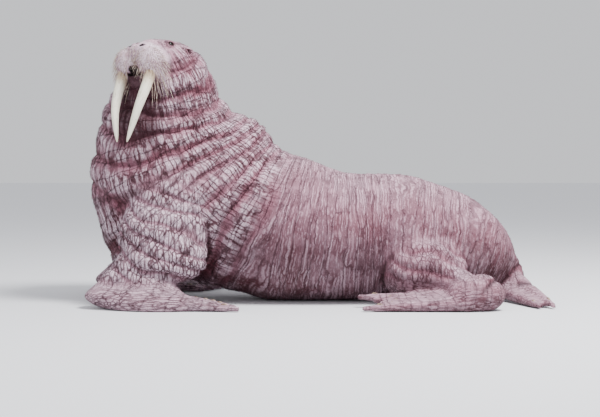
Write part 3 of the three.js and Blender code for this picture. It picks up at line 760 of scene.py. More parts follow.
trunk_away, head_away = trunk_field(points), head_field(points)
limb_away = np.array([field(points) for field in limb_fields])
limb_share = step_up(np.minimum(trunk_away, head_away) - limb_away.min(0), -20, 60)
head_share = step_up(trunk_away - head_away, -50, 30)
local = (points - HEAD_AT) @ head_axes
ahead, aside, below = local[:, 0], np.abs(local[:, 1]), -local[:, 2]
pad_share = step_up(ahead * 0.9 + below * 0.43, 52, 84) * (1 - step_up(below, 205, 250))
pad_share *= 1 - step_up(aside, 160, 190)
pad_share *= 1 - (1 - step_up(aside, 58, 78)) * step_up(below, 196, 206)
floor_share = step_up(points[:, 2], 4, 60)


def joints_of_limbs():
    """1 along the line where a limb's flesh folds against the trunk, fading to 0 on both sides."""
    deepest = np.exp(-(((trunk_away - limb_away) / 16) ** 2)).max(axis=0)
    top = np.where(points[:, 0] > 0, 190, 330)
    return deepest * step_up(points[:, 2], 60, 130) * (1 - step_up(points[:, 2] - top, 0, 180))


def relief():
    """How far each point of the hide stands out, in millimetres, and how creased it is there."""
    bend = cloud(address, 300, 1) + 0.45 * cloud(address, 130, 2)
    slant = points[:, 0] * 0.16
    neck = step_up(along, 1480, 1760) * (1 - 0.9 * head_share) * (1 - 0.85 * limb_share)
    rings = ridges((along + slant) / 122 + 0.36 * bend + 0.12 * cloud(address, 70, 3), 0.8)
    rings_small = ridges(along / 47 + 0.5 * cloud(address, 150, 12) + 0.4 * cloud(address, 60, 13))
    knobs = ridges(cloud(address, 72, 4) * 1.2 + 0.5, 0.8)
    neck_form = 25 * (rings - 0.62) + 4 * (rings_small - 0.6) + 9 * (knobs - 0.6) * rings
    neck_form *= neck * (1 - 0.45 * step_up(upright, 0.3, 0.9))
    body = (1 - neck) * (1 - head_share) * (1 - 0.75 * limb_share)
    arcs = ridges(along / 110 + 0.7 * bend + 0.25 * cloud(address, 90, 5), 0.9)
    patches = 0.5 + 0.5 * cloud(address, 240, 6)
    body_form = body * (6 * patches * (arcs - 0.62) + 8 * cloud(address, 200, 7))
    tilted = points[:, 2] + points[:, 0] * 0.45
    rounds = ridges(tilted / 98 + 0.5 * cloud(points, 170, 8), 0.8)
    wrist = limb_share * step_up(points[:, 2], 130, 210) * (1 - step_up(points[:, 2], 560, 800))
    limb_form = wrist * (17 * (rounds - 0.62) + 6 * cloud(points, 90, 10))
    small = cloud(points, 34, 9) * 1.6 * (1 - pad_share)
    joint = joints_of_limbs()
    form = (neck_form + body_form + limb_form + small) * floor_share
    form = form * (1 - 0.6 * joint) - 12 * joint
    crease = neck * (rings * 0.7 + knobs * 0.3)
    crease += body * (1 - patches * (1 - arcs) * 0.4) + wrist * rounds
    crease += 0.72 * (1 - np.minimum(neck + body + wrist, 1))
    return form, np.clip(crease, 0, 1) * (1 - 0.9 * joint), joint


LOWEST = 0.4  # mm over the floor
form, crest, joint = relief()
for spot in small_forms:
    form *= step_up(away_from(points, spot), 32, 80)
hide_points = points + unit(slope(on_floor, points)) * form[:, None]
hide_points[:, 2] = np.maximum(hide_points[:, 2], LOWEST)
print("relief: from", round(float(form.min()), 1), "to", round(float(form.max()), 1), "mm")


# %% Hide object
def add_mesh(name, vertices, polygons, smooth=True):
    """A new object from vertices in metres and polygons of vertex numbers."""
    mesh = bpy.data.meshes.new(name)
    polygons = polygons.tolist() if isinstance(polygons, np.ndarray) else polygons
    mesh.from_pydata(np.asarray(vertices).tolist(), [], polygons)
    mesh.polygons.foreach_set("use_smooth", [smooth] * len(mesh.polygons))
    mesh.update()
    piece = bpy.data.objects.new(name, mesh)
    bpy.context.scene.collection.objects.link(piece)
    return piece


def add_value(piece, name, values):
    """Stores a number, or three, for each vertex, where a finish can read it."""
    values = np.asarray(values, np.float32)
    if values.ndim == 1:
        piece.data.attributes.new(name, "FLOAT", "POINT").data.foreach_set("value", values)
    else:
        stored = piece.data.attributes.new(name, "FLOAT_VECTOR", "POINT")
        stored.data.foreach_set("vector", values.ravel())


def throat_shade_share():
    """1 where shade is painted: under the chin, between the tusks, down the front of the neck; else
    0.
    """
    low = step_up(below, 190, 216) * (1 - step_up(below, 520, 760))
    return low * step_up(ahead, -190, -60) * (1 - step_up(aside, 90, 200))


hide = add_mesh("hide", in_metres(hide_points), faces)
bare_share = limb_share * (1 - step_up(points[:, 2], 90, 190))
# The insides of the openings of the head, where the hide is painted in shade and no tuft grows.
hollow_share = 1 - step_up(from_opening(points), 0.5, 4.5)
near_eye_or_ear = away_from(points, *eye_at.values(), *ear_at.values())
markings = {
    "address": address / 1000,
    "crest": crest,
    "limb": limb_share,
    "bare": bare_share,
    "pad": pad_share,
    "head": head_share,
    "joint": joint,
    "throat": throat_shade_share(),
    "hollow": hollow_share,
    "dusky": 1 - step_up(near_eye_or_ear, 18, 52),
}
for name, values in markings.items():
    add_value(hide, name, values)
print("hide object:", len(hide.data.vertices), "vertices")

# %% [markdown]
# Shader maths
#
# A finish is worked out by nodes, but sums are easier to read than wires. This class wraps one
# output socket. The usual signs, and the methods least, most and mix, add the Math or Vector Math
# nodes that do the sum. Its method between adds a Map Range node for a soft step, and its method
# paint adds a Mix node for a blend of two colours.

# %% Shader maths
class Tone:
    """One output of a shader node, for use in sums."""

    def __init__(self, socket):
        self.socket = socket
        self.tree = socket.id_data

    @staticmethod
    def node(tree, kind, settings=None, inputs=None, output=0):
        """Adds any node: its settings first, then the values or links of its sockets."""
        made = tree.nodes.new(kind)
        for name, value in (settings or {}).items():
            setattr(made, name, value)
        for name, value in (inputs or {}).items():
            if isinstance(value, Tone):
                tree.links.new(value.socket, made.inputs[name])
            else:
                made.inputs[name].default_value = value
        return Tone(made.outputs[output])

    def is_plain(self):
        return self.socket.type == "VALUE"

    def sum(self, operation, other, swap=False):
        """Adds a Math node, or a Vector Math node if either of the two terms is a vector."""
        terms = [other, self] if swap else [self, other]
        plain = all(t.is_plain() if isinstance(t, Tone) else np.isscalar(t) for t in terms)
        kind = "ShaderNodeMath" if plain else "ShaderNodeVectorMath"
        if not plain:
            terms = [(t,) * 3 if np.isscalar(t) else t for t in terms]
        return Tone.node(self.tree, kind, {"operation": operation}, dict(enumerate(terms)))

    def __add__(self, other):
        return self.sum("ADD", other)

    def __sub__(self, other):
        return self.sum("SUBTRACT", other)

    def __rsub__(self, other):
        return self.sum("SUBTRACT", other, swap=True)

    def __mul__(self, other):
        return self.sum("MULTIPLY", other)

    __radd__ = __add__
    __rmul__ = __mul__

    def least(self, other):
        return self.sum("MINIMUM", other)

    def most(self, other):
        return self.sum("MAXIMUM", other)

    def between(self, start, end):
        """0 at start, 1 at end, and smooth between."""
        settings = {"interpolation_type": "SMOOTHSTEP"}
        inputs = {"Value": self, "From Min": start, "From Max": end}
        return Tone.node(self.tree, "ShaderNodeMapRange", settings, inputs)

    def mix(self, low, high):
        """low where this is 0, high where it is 1, for plain values."""
        return low + (high - low) * self

    def paint(self, low, high):
        """A colour: low where this is 0 and high where it is 1."""
        inputs = {0: self, 6: low, 7: high}
        return Tone.node(self.tree, "ShaderNodeMix", {"data_type": "RGBA"}, inputs, 2)


def colour(red, green, blue):
    """A colour as it looks on a screen, from 0 to 255, as the numbers that light adds up in."""
    parts = [v / 255 for v in (red, green, blue)]
    linear = [v / 12.92 if v <= 0.04045 else ((v + 0.055) / 1.055) ** 2.4 for v in parts]
    return (*linear, 1.0)


def new_finish(name, **constants):
    """A material with a Principled shader, whose even values are set on its own sockets."""
    finish = bpy.data.materials.new(name)
    finish.use_nodes = True
    shader = finish.node_tree.nodes["Principled BSDF"]
    for socket, value in constants.items():
        shader.inputs[socket.replace("_", " ")].default_value = value
    return finish, finish.node_tree, shader


def feed(shader, **tones):
    """Links tones to the sockets of a shader."""
    for socket, tone in tones.items():
        tone.tree.links.new(tone.socket, shader.inputs[socket.replace("_", " ")])


def stored(tree, name, output="Fac"):
    """A number, or with the output Vector three numbers, that a piece stores at each vertex."""
    settings = {"attribute_type": "GEOMETRY", "attribute_name": name}
    return Tone.node(tree, "ShaderNodeAttribute", settings, output=output)


def geometry(tree, output="Position"):
    """The place in the world of the point that is shaded, or the way that it faces."""
    return Tone.node(tree, "ShaderNodeNewGeometry", output=output)


def part_of(vector, axis):
    """The X, Y or Z part of a vector."""
    return Tone.node(vector.tree, "ShaderNodeSeparateXYZ", None, {0: vector}, axis)


def bump(height, distance, strength):
    inputs = {"Height": height, "Distance": distance, "Strength": strength}
    return Tone.node(height.tree, "ShaderNodeBump", None, inputs)


def noise(where, scale, detail=3.0, rough=0.55, output=0):
    inputs = {"Vector": where, "Scale": scale, "Detail": detail, "Roughness": rough}
    return Tone.node(where.tree, "ShaderNodeTexNoise", {"noise_dimensions": "3D"}, inputs, output)


def cracks(where, scale, randomness=1.0):
    """Distance to the nearest border between cells: 0 in a crease, more inside a cell."""
    inputs = {"Vector": where, "Scale": scale, "Randomness": randomness}
    return Tone.node(where.tree, "ShaderNodeTexVoronoi", {"feature": "DISTANCE_TO_EDGE"}, inputs)


# %% [markdown]
# The hide's finish
#
# Dry walrus hide is a dusty plum-brown. On top of that the finish paints light and shade: painted
# highlights on the crests of the folds, on the parts that face up and over the fore limbs, and
# painted shade, dark and redder, down in the creases, under the belly, behind the arms, under the
# chin and inside the openings of the head. Fine creases cross it like the cracks in old leather.
# Round the body they run from back to belly, a finger's breadth apart, and on the neck they also
# run lengthwise. The address stored on the hide stretches one pattern of cells along either way,
# and on the head, where there is little slack, the cells stay round.

# %% Shares of the hide
def hide_shares(tree, along):
    """The shares stored on the hide, by name, and two more: of the neck and of the arms."""
    names = ("crest", "joint", "head", "bare", "pad", "throat", "limb", "hollow", "dusky")
    share = {name: stored(tree, name) for name in names}
    share["neck"] = along.between(1.5, 1.8) * (1 - share["head"])
    share["arm"] = share["limb"] * along.between(0.9, 1.3)
    return share


# %% Creases of the hide
def stretched(where, drift, spacing, stretch, line, uneven=1.0):
    """Creases a spacing apart in metres: 0 in a crease and 1 between them."""
    return cracks(where * stretch + drift, 1 / spacing, uneven).between(0.0, line)


def hide_creases(place, address_at, share):
    """The fine hatching, the folds and the cracks of leather, all 0 in a crease."""
    drift = (noise(place, 5, 3, output="Color") - 0.5) * 0.05
    drift = drift + (noise(place, 55, 2, output="Color") - 0.5) * 0.008
    folds = stretched(address_at, drift, 0.056, (1.0, 0.14, 0.14), 0.08)
    round_body = stretched(address_at, drift, 0.0155, (1.0, 0.05, 0.05), 0.34, 0.9)
    crossing = stretched(address_at, drift, 0.024, (0.5, 0.42, 0.42), 0.11)
    lengthwise = stretched(address_at, drift, 0.021, (0.1, 1.0, 1.0), 0.22)
    down_arm = stretched(place, drift, 0.021, (1.0, 1.0, 0.14), 0.22)
    along_foot = stretched(place, drift, 0.016, (0.1, 1.0, 1.0), 0.26)
    leather = cracks(place + drift * 0.5, 66).between(0.0, 0.17)
    patchy = noise(place, 5, 3, 0.6).between(0.42, 0.6)
    on_trunk = round_body.least((patchy * 0.15).mix(1.0, crossing))
    on_body = share["neck"].mix(on_trunk, lengthwise)
    on_limb = share["bare"].mix(down_arm, along_foot)
    hatching = share["limb"].mix(on_body, on_limb)
    hatching = share["head"].mix(hatching, leather * 0.5 + 0.5)
    firm = noise(place, 11, 3, 0.6).between(0.3, 0.66) * 0.4 + 0.6
    hatching = 1 - (1 - hatching.least(leather * 0.4 + 0.6)) * firm
    return hatching, folds, leather


# %% Finish of the hide
def layered(base, *layers):
    """A colour under layers of other colours, each laid on where its share says."""
    for share, shade in layers:
        base = share.paint(base, shade)
    return base


def hide_finish():
    finish, tree, shader = new_finish("walrus_hide", Specular_IOR_Level=0.22)
    place, address_at = geometry(tree), stored(tree, "address", "Vector")
    upward, over_floor = part_of(geometry(tree, "Normal"), "Z"), part_of(place, "Z")
    share = hide_shares(tree, part_of(address_at, "X"))
    neck, arm, crest, pad = (share[name] for name in ("neck", "arm", "crest", "pad"))
    hatching, folds, leather = hide_creases(place, address_at, share)
    grain = noise(place, 420, 3, 0.6)
    mottle = noise(place, 20, 4, 0.62).between(0.28, 0.72)
    clouds = noise(place, 3.4, 3, 0.55).between(0.32, 0.68)
    dots = Tone.node(tree, "ShaderNodeTexVoronoi", None, {"Vector": place, "Scale": 110.0})
    pit = dots.between(0.12, 0.34)

    # Painted light and shade: the hide is painted paler where it faces up and stands higher over
    # the floor, and darker towards the belly.
    lit = upward.between(-0.5, 0.9) * 0.75 + over_floor.between(0.0, 0.9) * 0.25
    # How strongly the crests of the folds get a painted highlight: most on the neck, head and fore
    # limbs.
    crest_highlight_weight = neck.most(share["head"]).most(arm) * 0.4 + 0.2
    sole = mottle.paint(colour(176, 132, 146), colour(216, 184, 198))
    muzzle = mottle.paint(colour(186, 152, 168), colour(238, 222, 234))
    skin = layered(
        # Painted shade below and painted highlight above, by the lit share.
        lit.paint(colour(64, 8, 16), colour(182, 122, 140)),
        (mottle * 0.12, colour(130, 54, 78)),
        (clouds * 0.2, colour(214, 174, 194)),
        # Painted highlight over the fore limbs and shoulders.
        (arm * 0.25, colour(228, 196, 214)),
        # Painted highlight on the parts of the hide that face up.
        (upward.between(0.35, 1.0) * 0.3, colour(230, 208, 224)),
        # Painted highlight on the crests of the folds.
        (crest.between(0.5, 1.0) * hatching * crest_highlight_weight, colour(244, 224, 238)),
        # Painted shade in the fine creases, the folds and the valleys of the relief.
        ((1 - hatching) * (0.65 + neck * 0.25), colour(42, 6, 14)),
        ((1 - folds) * (0.35 + neck * 0.2), colour(40, 6, 16)),
        ((1 - crest.between(0.0, 0.5)) * (neck * 0.45 + 0.15), colour(62, 12, 26)),
        # Painted shade where the limbs fold against the trunk, behind the arms and in front of the
        # thighs.
        (share["joint"] * 0.85, colour(34, 10, 16)),
        # Painted shade under the chin, between the tusks and down the front of the neck.
        (share["throat"] * 0.86, colour(54, 18, 28)),
        (share["bare"] * hatching * 0.3, sole),
        (pad * 0.8, pit.paint(colour(96, 52, 62), muzzle)),
        (share["dusky"] * (1.15 - leather * 0.45) * 0.7, colour(66, 26, 34)),
        # Painted shade inside the nostrils, ears, mouth and lid openings.
        (share["hollow"] * 0.95, colour(22, 8, 10)),
    )

    height = hatching * 0.7 + folds * 0.8 + grain * 0.14 + mottle * 0.2
    height = height * (1 - pad * 0.6) + pit * pad * 0.3
    rough = 0.6 + grain * 0.18 - (1 - hatching) * 0.06
    feed(shader, Base_Color=skin, Roughness=rough, Normal=bump(height, 0.008, 0.9))
    return finish


walrus_hide = hide_finish()
hide.data.materials.append(walrus_hide)
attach(hide, "root")
flesh_nodes = [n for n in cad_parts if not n.startswith(("eye_", "tusk_"))]
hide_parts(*flesh_nodes)
print("hide stands for", len(flesh_nodes), "solids")

# %% [markdown]
# Coat
#
# A walrus is nearly bald, but short stiff hair lies flat against the hide from crown to tail,
# thickest on the neck and gone from the soles and webs. Each tuft is a thin bent spike with its
# root sunk in. It carries the markings of the hide at its root, so it takes the same finish, and
# its patch in the map OFBake lies at its root's place on the hide unrolled round the spine.

# %% Unrolled hide
UNROLLED_LENGTH = 3400.0


def unrolled(spots):
    """Each spot's place on the hide unrolled round a path from the tail to the muzzle."""
    path = np.concatenate([SPINE, [HEAD_AT, MUZZLE_AT]])
    length, across, above, _ = spine_address(spots, path)
    turn = 0.5 + np.arctan2(across, above) / (2 * np.pi)
    return np.stack([length / UNROLLED_LENGTH, turn], axis=1)


def add_map(piece, places):
    """The map OFBake, given one place for each vertex."""
    layer = piece.data.uv_layers.new(name="OFBake")
    corner = np.empty(len(piece.data.loops), int)
    piece.data.loops.foreach_get("vertex_index", corner)
    layer.data.foreach_set("uv", places[corner].astype(np.float32).ravel())


# %% Coat
TUFTS = 19000
TUFT_PATCH = 0.003  # how much of the map one tuft or whisker takes
SPIKE = [[0, 2, 1]]  # faces of a tuft: two rings of three vertices and a tip
for a, b, c, d in ((0, 1, 3, 4), (1, 2, 4, 5), (2, 0, 5, 3)):
    SPIKE += [[a, b, d], [a, d, c]]
SPIKE += [[3, 4, 6], [4, 5, 6], [5, 3, 6]]


def coat():
    """The tufts: roots drawn by the area of each face, laid flat and towards the tail."""
    draw = np.random.default_rng(5)
    ring = hide_points[faces]
    normal = np.cross(ring[:, 1] - ring[:, 0], ring[:, 2] - ring[:, 0])
    area = np.linalg.norm(normal, axis=1)
    wanted = (1 - pad_share) * (1 - bare_share) * (1 - hollow_share) * floor_share
    wanted *= 0.35 + 0.65 * step_up(along, 1300, 1900)
    for spot in small_forms:
        wanted = wanted * step_up(away_from(points, spot), 26, 40)
    weight = area * wanted[faces].min(axis=1)
    picks = draw.choice(len(faces), TUFTS, p=weight / weight.sum())
    shares = draw.dirichlet([1, 1, 1], TUFTS)
    roots = (ring[picks] * shares[:, :, None]).sum(1)
    out = normal[picks] / area[picks][:, None]
    first = faces[picks, 0]
    lie = -headward[first] + [0, 0, -0.35] + draw.normal(0, 0.22, (TUFTS, 3))
    lie = unit(lie - out * (lie * out).sum(1)[:, None])
    side = np.cross(out, lie)
    length = (12 + 7 * step_up(along[first], 1400, 2000)) * draw.uniform(0.7, 1.25, TUFTS)
    width = draw.uniform(0.7, 1.1, TUFTS)
    spikes = np.empty((TUFTS, 7, 3))
    for level, (reach, lift, size) in enumerate(((0.0, -1.2, 1.0), (0.5, 3.0, 0.8))):
        middle = roots + lie * (length * reach)[:, None] + out * lift
        for k, turn in enumerate(np.radians([90, 210, 330])):
            spoke = side * math.cos(turn) + out * math.sin(turn)
            spikes[:, level * 3 + k] = middle + spoke * (width * size)[:, None]
    spikes[:, 6] = roots + lie * length[:, None] + out * 4.0
    polygons = (np.arange(TUFTS)[:, None, None] * 7 + np.array(SPIKE)).reshape(-1, 3)
    piece = add_mesh("short_coat", in_metres(spikes.reshape(-1, 3)), polygons)
    for name, values in markings.items():
        add_value(piece, name, np.repeat(values[first], 7, axis=0))
    rows = [[0, 0], [0.5, 0], [1, 0]], [[0, 0.5], [0.5, 0.5], [1, 0.5]], [[0.5, 1]]
    spread = TUFT_PATCH * np.concatenate(rows)
    add_map(piece, (unrolled(roots)[:, None] + spread).reshape(-1, 2))
    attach(piece, "root")
    return piece


coat().data.materials.append(walrus_hide)
print("coat:", TUFTS, "tufts,", TUFTS * len(SPIKE), "triangles")

# %% [markdown]
# Tusks
#
# A tusk is a canine tooth that never stops growing. It leaves the lip as a flattened oval, bows
# forwards and tapers to a worn, blunt tip. Long shallow grooves run down it, and the ivory cracks
# along its length and stains near the gum. A loft of rings along the curve gives all of that; the
# curve is the one that the solid tusk follows.

# %% Smooth curve through points
CURVE_STEPS = 40


def part_way(t, start, end, a, b):
    """The place between a, reached at start, and b, reached at end, for each time t."""
    return ((end - t) * a + (t - start) * b) / (end - start)


def curve_through(knots, shares):
    """A Catmull-Rom curve with centripetal spacing, as places at shares of its length."""
    knots = np.array(knots, float)
    ends = np.concatenate([[2 * knots[0] - knots[1]], knots, [2 * knots[-1] - knots[-2]]])
    steps = np.linalg.norm(np.diff(ends, axis=0), axis=1)
    times = np.concatenate([[0], np.cumsum(np.sqrt(steps))])
    dense = []
    for first in range(len(ends) - 3):
        near = ends[first : first + 4]
        at = times[first : first + 4]
        t = np.linspace(at[1], at[2], CURVE_STEPS, endpoint=False)[:, None]
        near = [part_way(t, at[i], at[i + 1], near[i], near[i + 1]) for i in range(3)]
        near = [part_way(t, at[i], at[i + 2], near[i], near[i + 1]) for i in range(2)]
        dense.append(part_way(t, at[1], at[2], *near))
    dense = np.concatenate(dense + [knots[-1:]])
    lengths = np.concatenate([[0], np.cumsum(np.linalg.norm(np.diff(dense, axis=0), axis=1))])
    wanted = np.asarray(shares) * lengths[-1]
    return np.stack([np.interp(wanted, lengths, dense[:, i]) for i in range(3)], axis=1)


# %% Loft of rings
def ring_quads(steps, around):
    """The quads between rings whose vertices are numbered ring by ring."""
    ring, spot = np.meshgrid(np.arange(steps - 1), np.arange(around), indexing="ij")
    a, b = ring * around + spot, ring * around + (spot + 1) % around
    return np.stack([a, b, b + around, a + around], axis=-1).reshape(-1, 4)


def loft(places, across, widths, depths, around, ripple=None):
    """Vertices and faces of rings along a row of places. ripple(angle, share) scales a radius."""
    steps = len(places)
    way = unit(np.gradient(places, axis=0))
    side = unit(across - way * (way @ across)[:, None])
    front = np.cross(way, side)
    angles = np.linspace(0, 2 * np.pi, around, endpoint=False)
    share = np.linspace(0, 1, steps)
    scale = ripple(angles[None, :], share[:, None]) if ripple else np.ones((steps, around))
    sideways = (np.cos(angles) * widths[:, None] * scale)[..., None]
    forwards = (np.sin(angles) * depths[:, None] * scale)[..., None]
    rings = places[:, None] + side[:, None] * sideways + front[:, None] * forwards
    vertices = np.concatenate([rings.reshape(-1, 3), places[:1], places[-1:]])
    polygons = ring_quads(steps, around).tolist()
    first, last = len(vertices) - 2, len(vertices) - 1
    spots = [(i, (i + 1) % around) for i in range(around)]
    polygons += [[first, j, i] for i, j in spots]
    polygons += [[last, first - around + i, first - around + j] for i, j in spots]
    return vertices, polygons


# %% Tusks
TUSK_LENGTH = 440.0  # mm, and the curve's lower places lie at shares of it below the lip
TUSK_HALF_DEPTH, TUSK_HALF_WIDTH = 38.0, 30.0
TUSK_RINGS, TUSK_AROUND = 90, 56
LIP = -210.0  # mm crownward of the eyes' middle, where a tusk leaves the lip


def tusk_curve(s):
    """Four places along the middle of a tusk, from its root in the muzzle to its tip."""
    return [
        from_head(92, s * 98, LIP + 60),
        from_head(104, s * 104, LIP),
        from_head(142, s * 86, LIP - TUSK_LENGTH * 0.5),
        from_head(132, s * 37, LIP - TUSK_LENGTH * 0.96),
    ]


def tusk(side_name, s):
    share = np.linspace(0, 1, TUSK_RINGS) ** 0.9
    places = curve_through(tusk_curve(s), share)
    taper = np.sqrt(np.maximum(0, 1 - share**2.4)) * (1 - 0.28 * share)
    taper[-1] = 0.02
    phase = 1.7 * s

    def grooves(angle, along):
        fade = 1 - 0.6 * along
        long = 0.012 * (np.sin(angle * 3 + phase) + np.sin(angle * 7 + 2 * phase + along * 2))
        deep = -0.055 * np.exp(-(((angle - 1.3) % (2 * np.pi)) / 0.16) ** 2)
        rings = 0.008 * np.sin(along * 60 + np.sin(angle * 2) * 1.5)
        return 1 + (long + deep + rings) * fade

    widths, depths = TUSK_HALF_WIDTH * taper, TUSK_HALF_DEPTH * taper
    vertices, polygons = loft(places, leftward, widths, depths, TUSK_AROUND, grooves)
    piece = add_mesh("tusk_" + side_name + "_ivory", in_metres(vertices), polygons)
    add_value(piece, "down", np.append(np.repeat(share, TUSK_AROUND), [0.0, 1.0]))
    turn = np.linspace(0, 2 * np.pi, TUSK_AROUND, endpoint=False)
    turn = np.append(np.tile(turn, TUSK_RINGS), [0, 0])
    add_value(piece, "round", np.stack([np.cos(turn), np.sin(turn), turn * 0], axis=1))
    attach(piece, "root")
    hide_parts("tusk_" + side_name)
    return piece


def ivory_finish():
    finish, tree, shader = new_finish("ivory", Specular_IOR_Level=0.5)
    down, about = stored(tree, "down"), stored(tree, "round", "Vector")
    drawn = about + Tone.node(tree, "ShaderNodeCombineXYZ", None, {"Z": down * 2.2})
    grain = noise(drawn * (2.6, 2.6, 1.0), 3.2, 4, 0.6)
    splits = cracks(about * (1.5, 1.5, 1.0) + drawn * (0.0, 0.0, 0.5), 3.4).between(0.0, 0.035)
    spots = noise(geometry(tree), 34, 3, 0.6)
    clean = grain.paint(colour(236, 228, 206), colour(250, 246, 232))
    stain = (1 - down.between(0.1, 0.36)) * 0.75 + spots.between(0.56, 0.8) * 0.25
    worn = layered(
        clean,
        (stain, colour(196, 160, 112)),
        ((1 - splits) * 0.6, colour(120, 92, 62)),
        (down.between(0.9, 1.0) * 0.5, colour(212, 198, 168)),
    )
    relief = bump(splits * 0.6 + grain * 0.4, 0.0012, 0.6)
    feed(shader, Base_Color=worn, Roughness=0.3 + grain * 0.2, Normal=relief)
    return finish


ivory = ivory_finish()
for side_name, s in SIDES.items():
    tusk(side_name, s).data.materials.append(ivory)
middle = curve_through(tusk_curve(1), np.linspace(0, 1, 1000))
shown = middle[(middle - HEAD_AT) @ crownward <= LIP]
shown_length = np.linalg.norm(np.diff(shown, axis=0), axis=1).sum()
print("tusks:", round(float(shown_length)), "mm show below the lip")

# %% [markdown]
# Eyes
#
# A walrus has small, dark, slightly bulging eyes. Each is a ball with a flat iris painted on it by
# the angle from its axis, under a wet gloss, and it sits in the almond opening of the lids.

# %% Eyes
EYE_RINGS, EYE_AROUND = 23, 40
EYE_BULGE = 0.05  # how far the front stands out, as a share of the radius


def eye_finish():
    gloss = {"Coat_Weight": 1.0, "Coat_Roughness": 0.03, "Roughness": 0.12}
    finish, tree, shader = new_finish("wet_eye", **gloss)
    off_axis = stored(tree, "off_axis")
    veins = noise(geometry(tree), 240, 3, 0.6)
    iris = off_axis.between(0.3, 0.7).paint(colour(18, 12, 10), colour(66, 38, 24))
    rim = off_axis.between(0.8, 0.9).paint(iris, colour(20, 10, 9))
    white = veins.between(0.4, 0.7).paint(colour(150, 112, 100), colour(128, 58, 48))
    feed(shader, Base_Color=off_axis.between(0.98, 1.06).paint(rim, white))
    return finish


def eyeball(side_name, s):
    look = axes_for(head_way(0.42, s, 0.06), crownward)
    angles = np.linspace(0, np.pi, EYE_RINGS + 2)[1:-1]
    turns = np.linspace(0, 2 * np.pi, EYE_AROUND, endpoint=False)
    bulge = 1 + EYE_BULGE * np.exp(-((angles / 0.5) ** 2))
    ring = np.stack([turns * 0, np.cos(turns), np.sin(turns)], axis=1)
    rows = [([math.cos(a), 0, 0] + ring * math.sin(a)) * b for a, b in zip(angles, bulge)]
    ball = np.concatenate([[[1 + EYE_BULGE, 0, 0]], *rows, [[-1, 0, 0]]]) * EYE_RADIUS
    back = len(ball) - 1
    spots = [(i, (i + 1) % EYE_AROUND) for i in range(EYE_AROUND)]
    polygons = (1 + ring_quads(EYE_RINGS, EYE_AROUND)[:, ::-1]).tolist()
    polygons += [[0, 1 + i, 1 + j] for i, j in spots]
    polygons += [[back - EYE_AROUND + i, back, back - EYE_AROUND + j] for i, j in spots]
    vertices = in_metres(eye_at[s] + ball @ look.T)
    piece = add_mesh("eye_" + side_name + "_ball", vertices, polygons)
    add_value(piece, "off_axis", np.concatenate([[0], np.repeat(angles, EYE_AROUND), [np.pi]]))
    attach(piece, "root")
    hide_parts("eye_" + side_name)
    return piece


wet_eye = eye_finish()
for side_name, s in SIDES.items():
    eyeball(side_name, s).data.materials.append(wet_eye)
print("eyes:", EYE_RADIUS, "mm radius")

# %% [markdown]
# Whiskers
#
# Each pad carries some two hundred stiff bristles in curved rows, short on top of the muzzle and
# long at its lower edge, where they hang past the lip. They are the animal's fingertips. Each one
# is a thin tapered mesh tube that leaves the pad at its own angle and curves down.

# %% Whiskers
WHISKERS_A_SIDE = 260
PAD_REACH = 190.0  # mm from the middle of a pad to its farthest whisker
WIDEST_SPREAD = 1.38  # radians off the way that the middle of a pad faces
GOLDEN = math.pi * (3 - math.sqrt(5))
TUBE_RINGS, TUBE_AROUND = 6, 5


def many_tubes(name, roots, ways, droops, lengths, radii):
    """Many tapered, drooping tubes as one mesh, closed at the thin end."""
    share = np.linspace(0, 1, TUBE_RINGS)
    rise, sag, reach = share[:, None], droops[:, None], lengths[:, None, None]
    path = roots[:, None] + ways[:, None] * rise * reach + sag * rise**2
    run = unit(ways[:, None] + sag * 2 * rise / reach)
    steep = np.abs(run[..., 2:]) > 0.9
    side = unit(np.cross(run, np.where(steep, [1.0, 0, 0], [0, 0, 1.0])))
    front = np.cross(run, side)
    width = radii[:, None] * (1 - 0.85 * share**1.5)
    angles = np.linspace(0, 2 * np.pi, TUBE_AROUND, endpoint=False)[:, None]
    spokes = side[:, :, None] * np.cos(angles) + front[:, :, None] * np.sin(angles)
    vertices = (path[:, :, None] + spokes * width[:, :, None, None]).reshape(-1, 3)
    first = np.arange(len(roots))[:, None, None] * TUBE_RINGS * TUBE_AROUND
    polygons = (first + ring_quads(TUBE_RINGS, TUBE_AROUND)).reshape(-1, 4).tolist()
    ends = first[:, 0] + (TUBE_RINGS - 1) * TUBE_AROUND + np.arange(TUBE_AROUND)
    polygons += ends.tolist()
    piece = add_mesh(name, in_metres(vertices), polygons)
    add_value(piece, "share", np.tile(np.repeat(share, TUBE_AROUND), len(roots)))
    across = np.linspace(0, 1, TUBE_AROUND)
    spread = TUFT_PATCH * np.stack(np.meshgrid(share, across, indexing="ij"), axis=-1)
    add_map(piece, (unrolled(roots)[:, None, None] + spread).reshape(-1, 2))
    return piece


def whisker_roots(s, draw):
    """Roots on one pad, the ways from its middle to them, and its outward and downward ways."""
    middle = from_head(80, s * 80, -118)
    facing = head_way(0.86, s * 0.22, -0.46)
    across = unit(s * (leftward - facing * (leftward @ facing)))
    down = s * np.cross(across, facing)
    order = np.arange(WHISKERS_A_SIDE)
    spread = WIDEST_SPREAD * np.sqrt((order + 0.5) / WHISKERS_A_SIDE)
    spread += draw.normal(0, 0.015, WHISKERS_A_SIDE)
    spin = order * GOLDEN + draw.normal(0, 0.04, WHISKERS_A_SIDE)
    turns = [np.cos(spread), np.sin(spread) * np.cos(spin), np.sin(spread) * np.sin(spin)]
    ways = np.stack(turns, axis=1) @ np.stack([facing, across, down])
    roots = on_flesh(np.repeat(middle[None], WHISKERS_A_SIDE, axis=0), ways, on_floor)
    near = (np.linalg.norm(roots - middle, axis=1) < PAD_REACH) & (from_opening(roots) > 6)
    return roots[near], ways[near], across, down


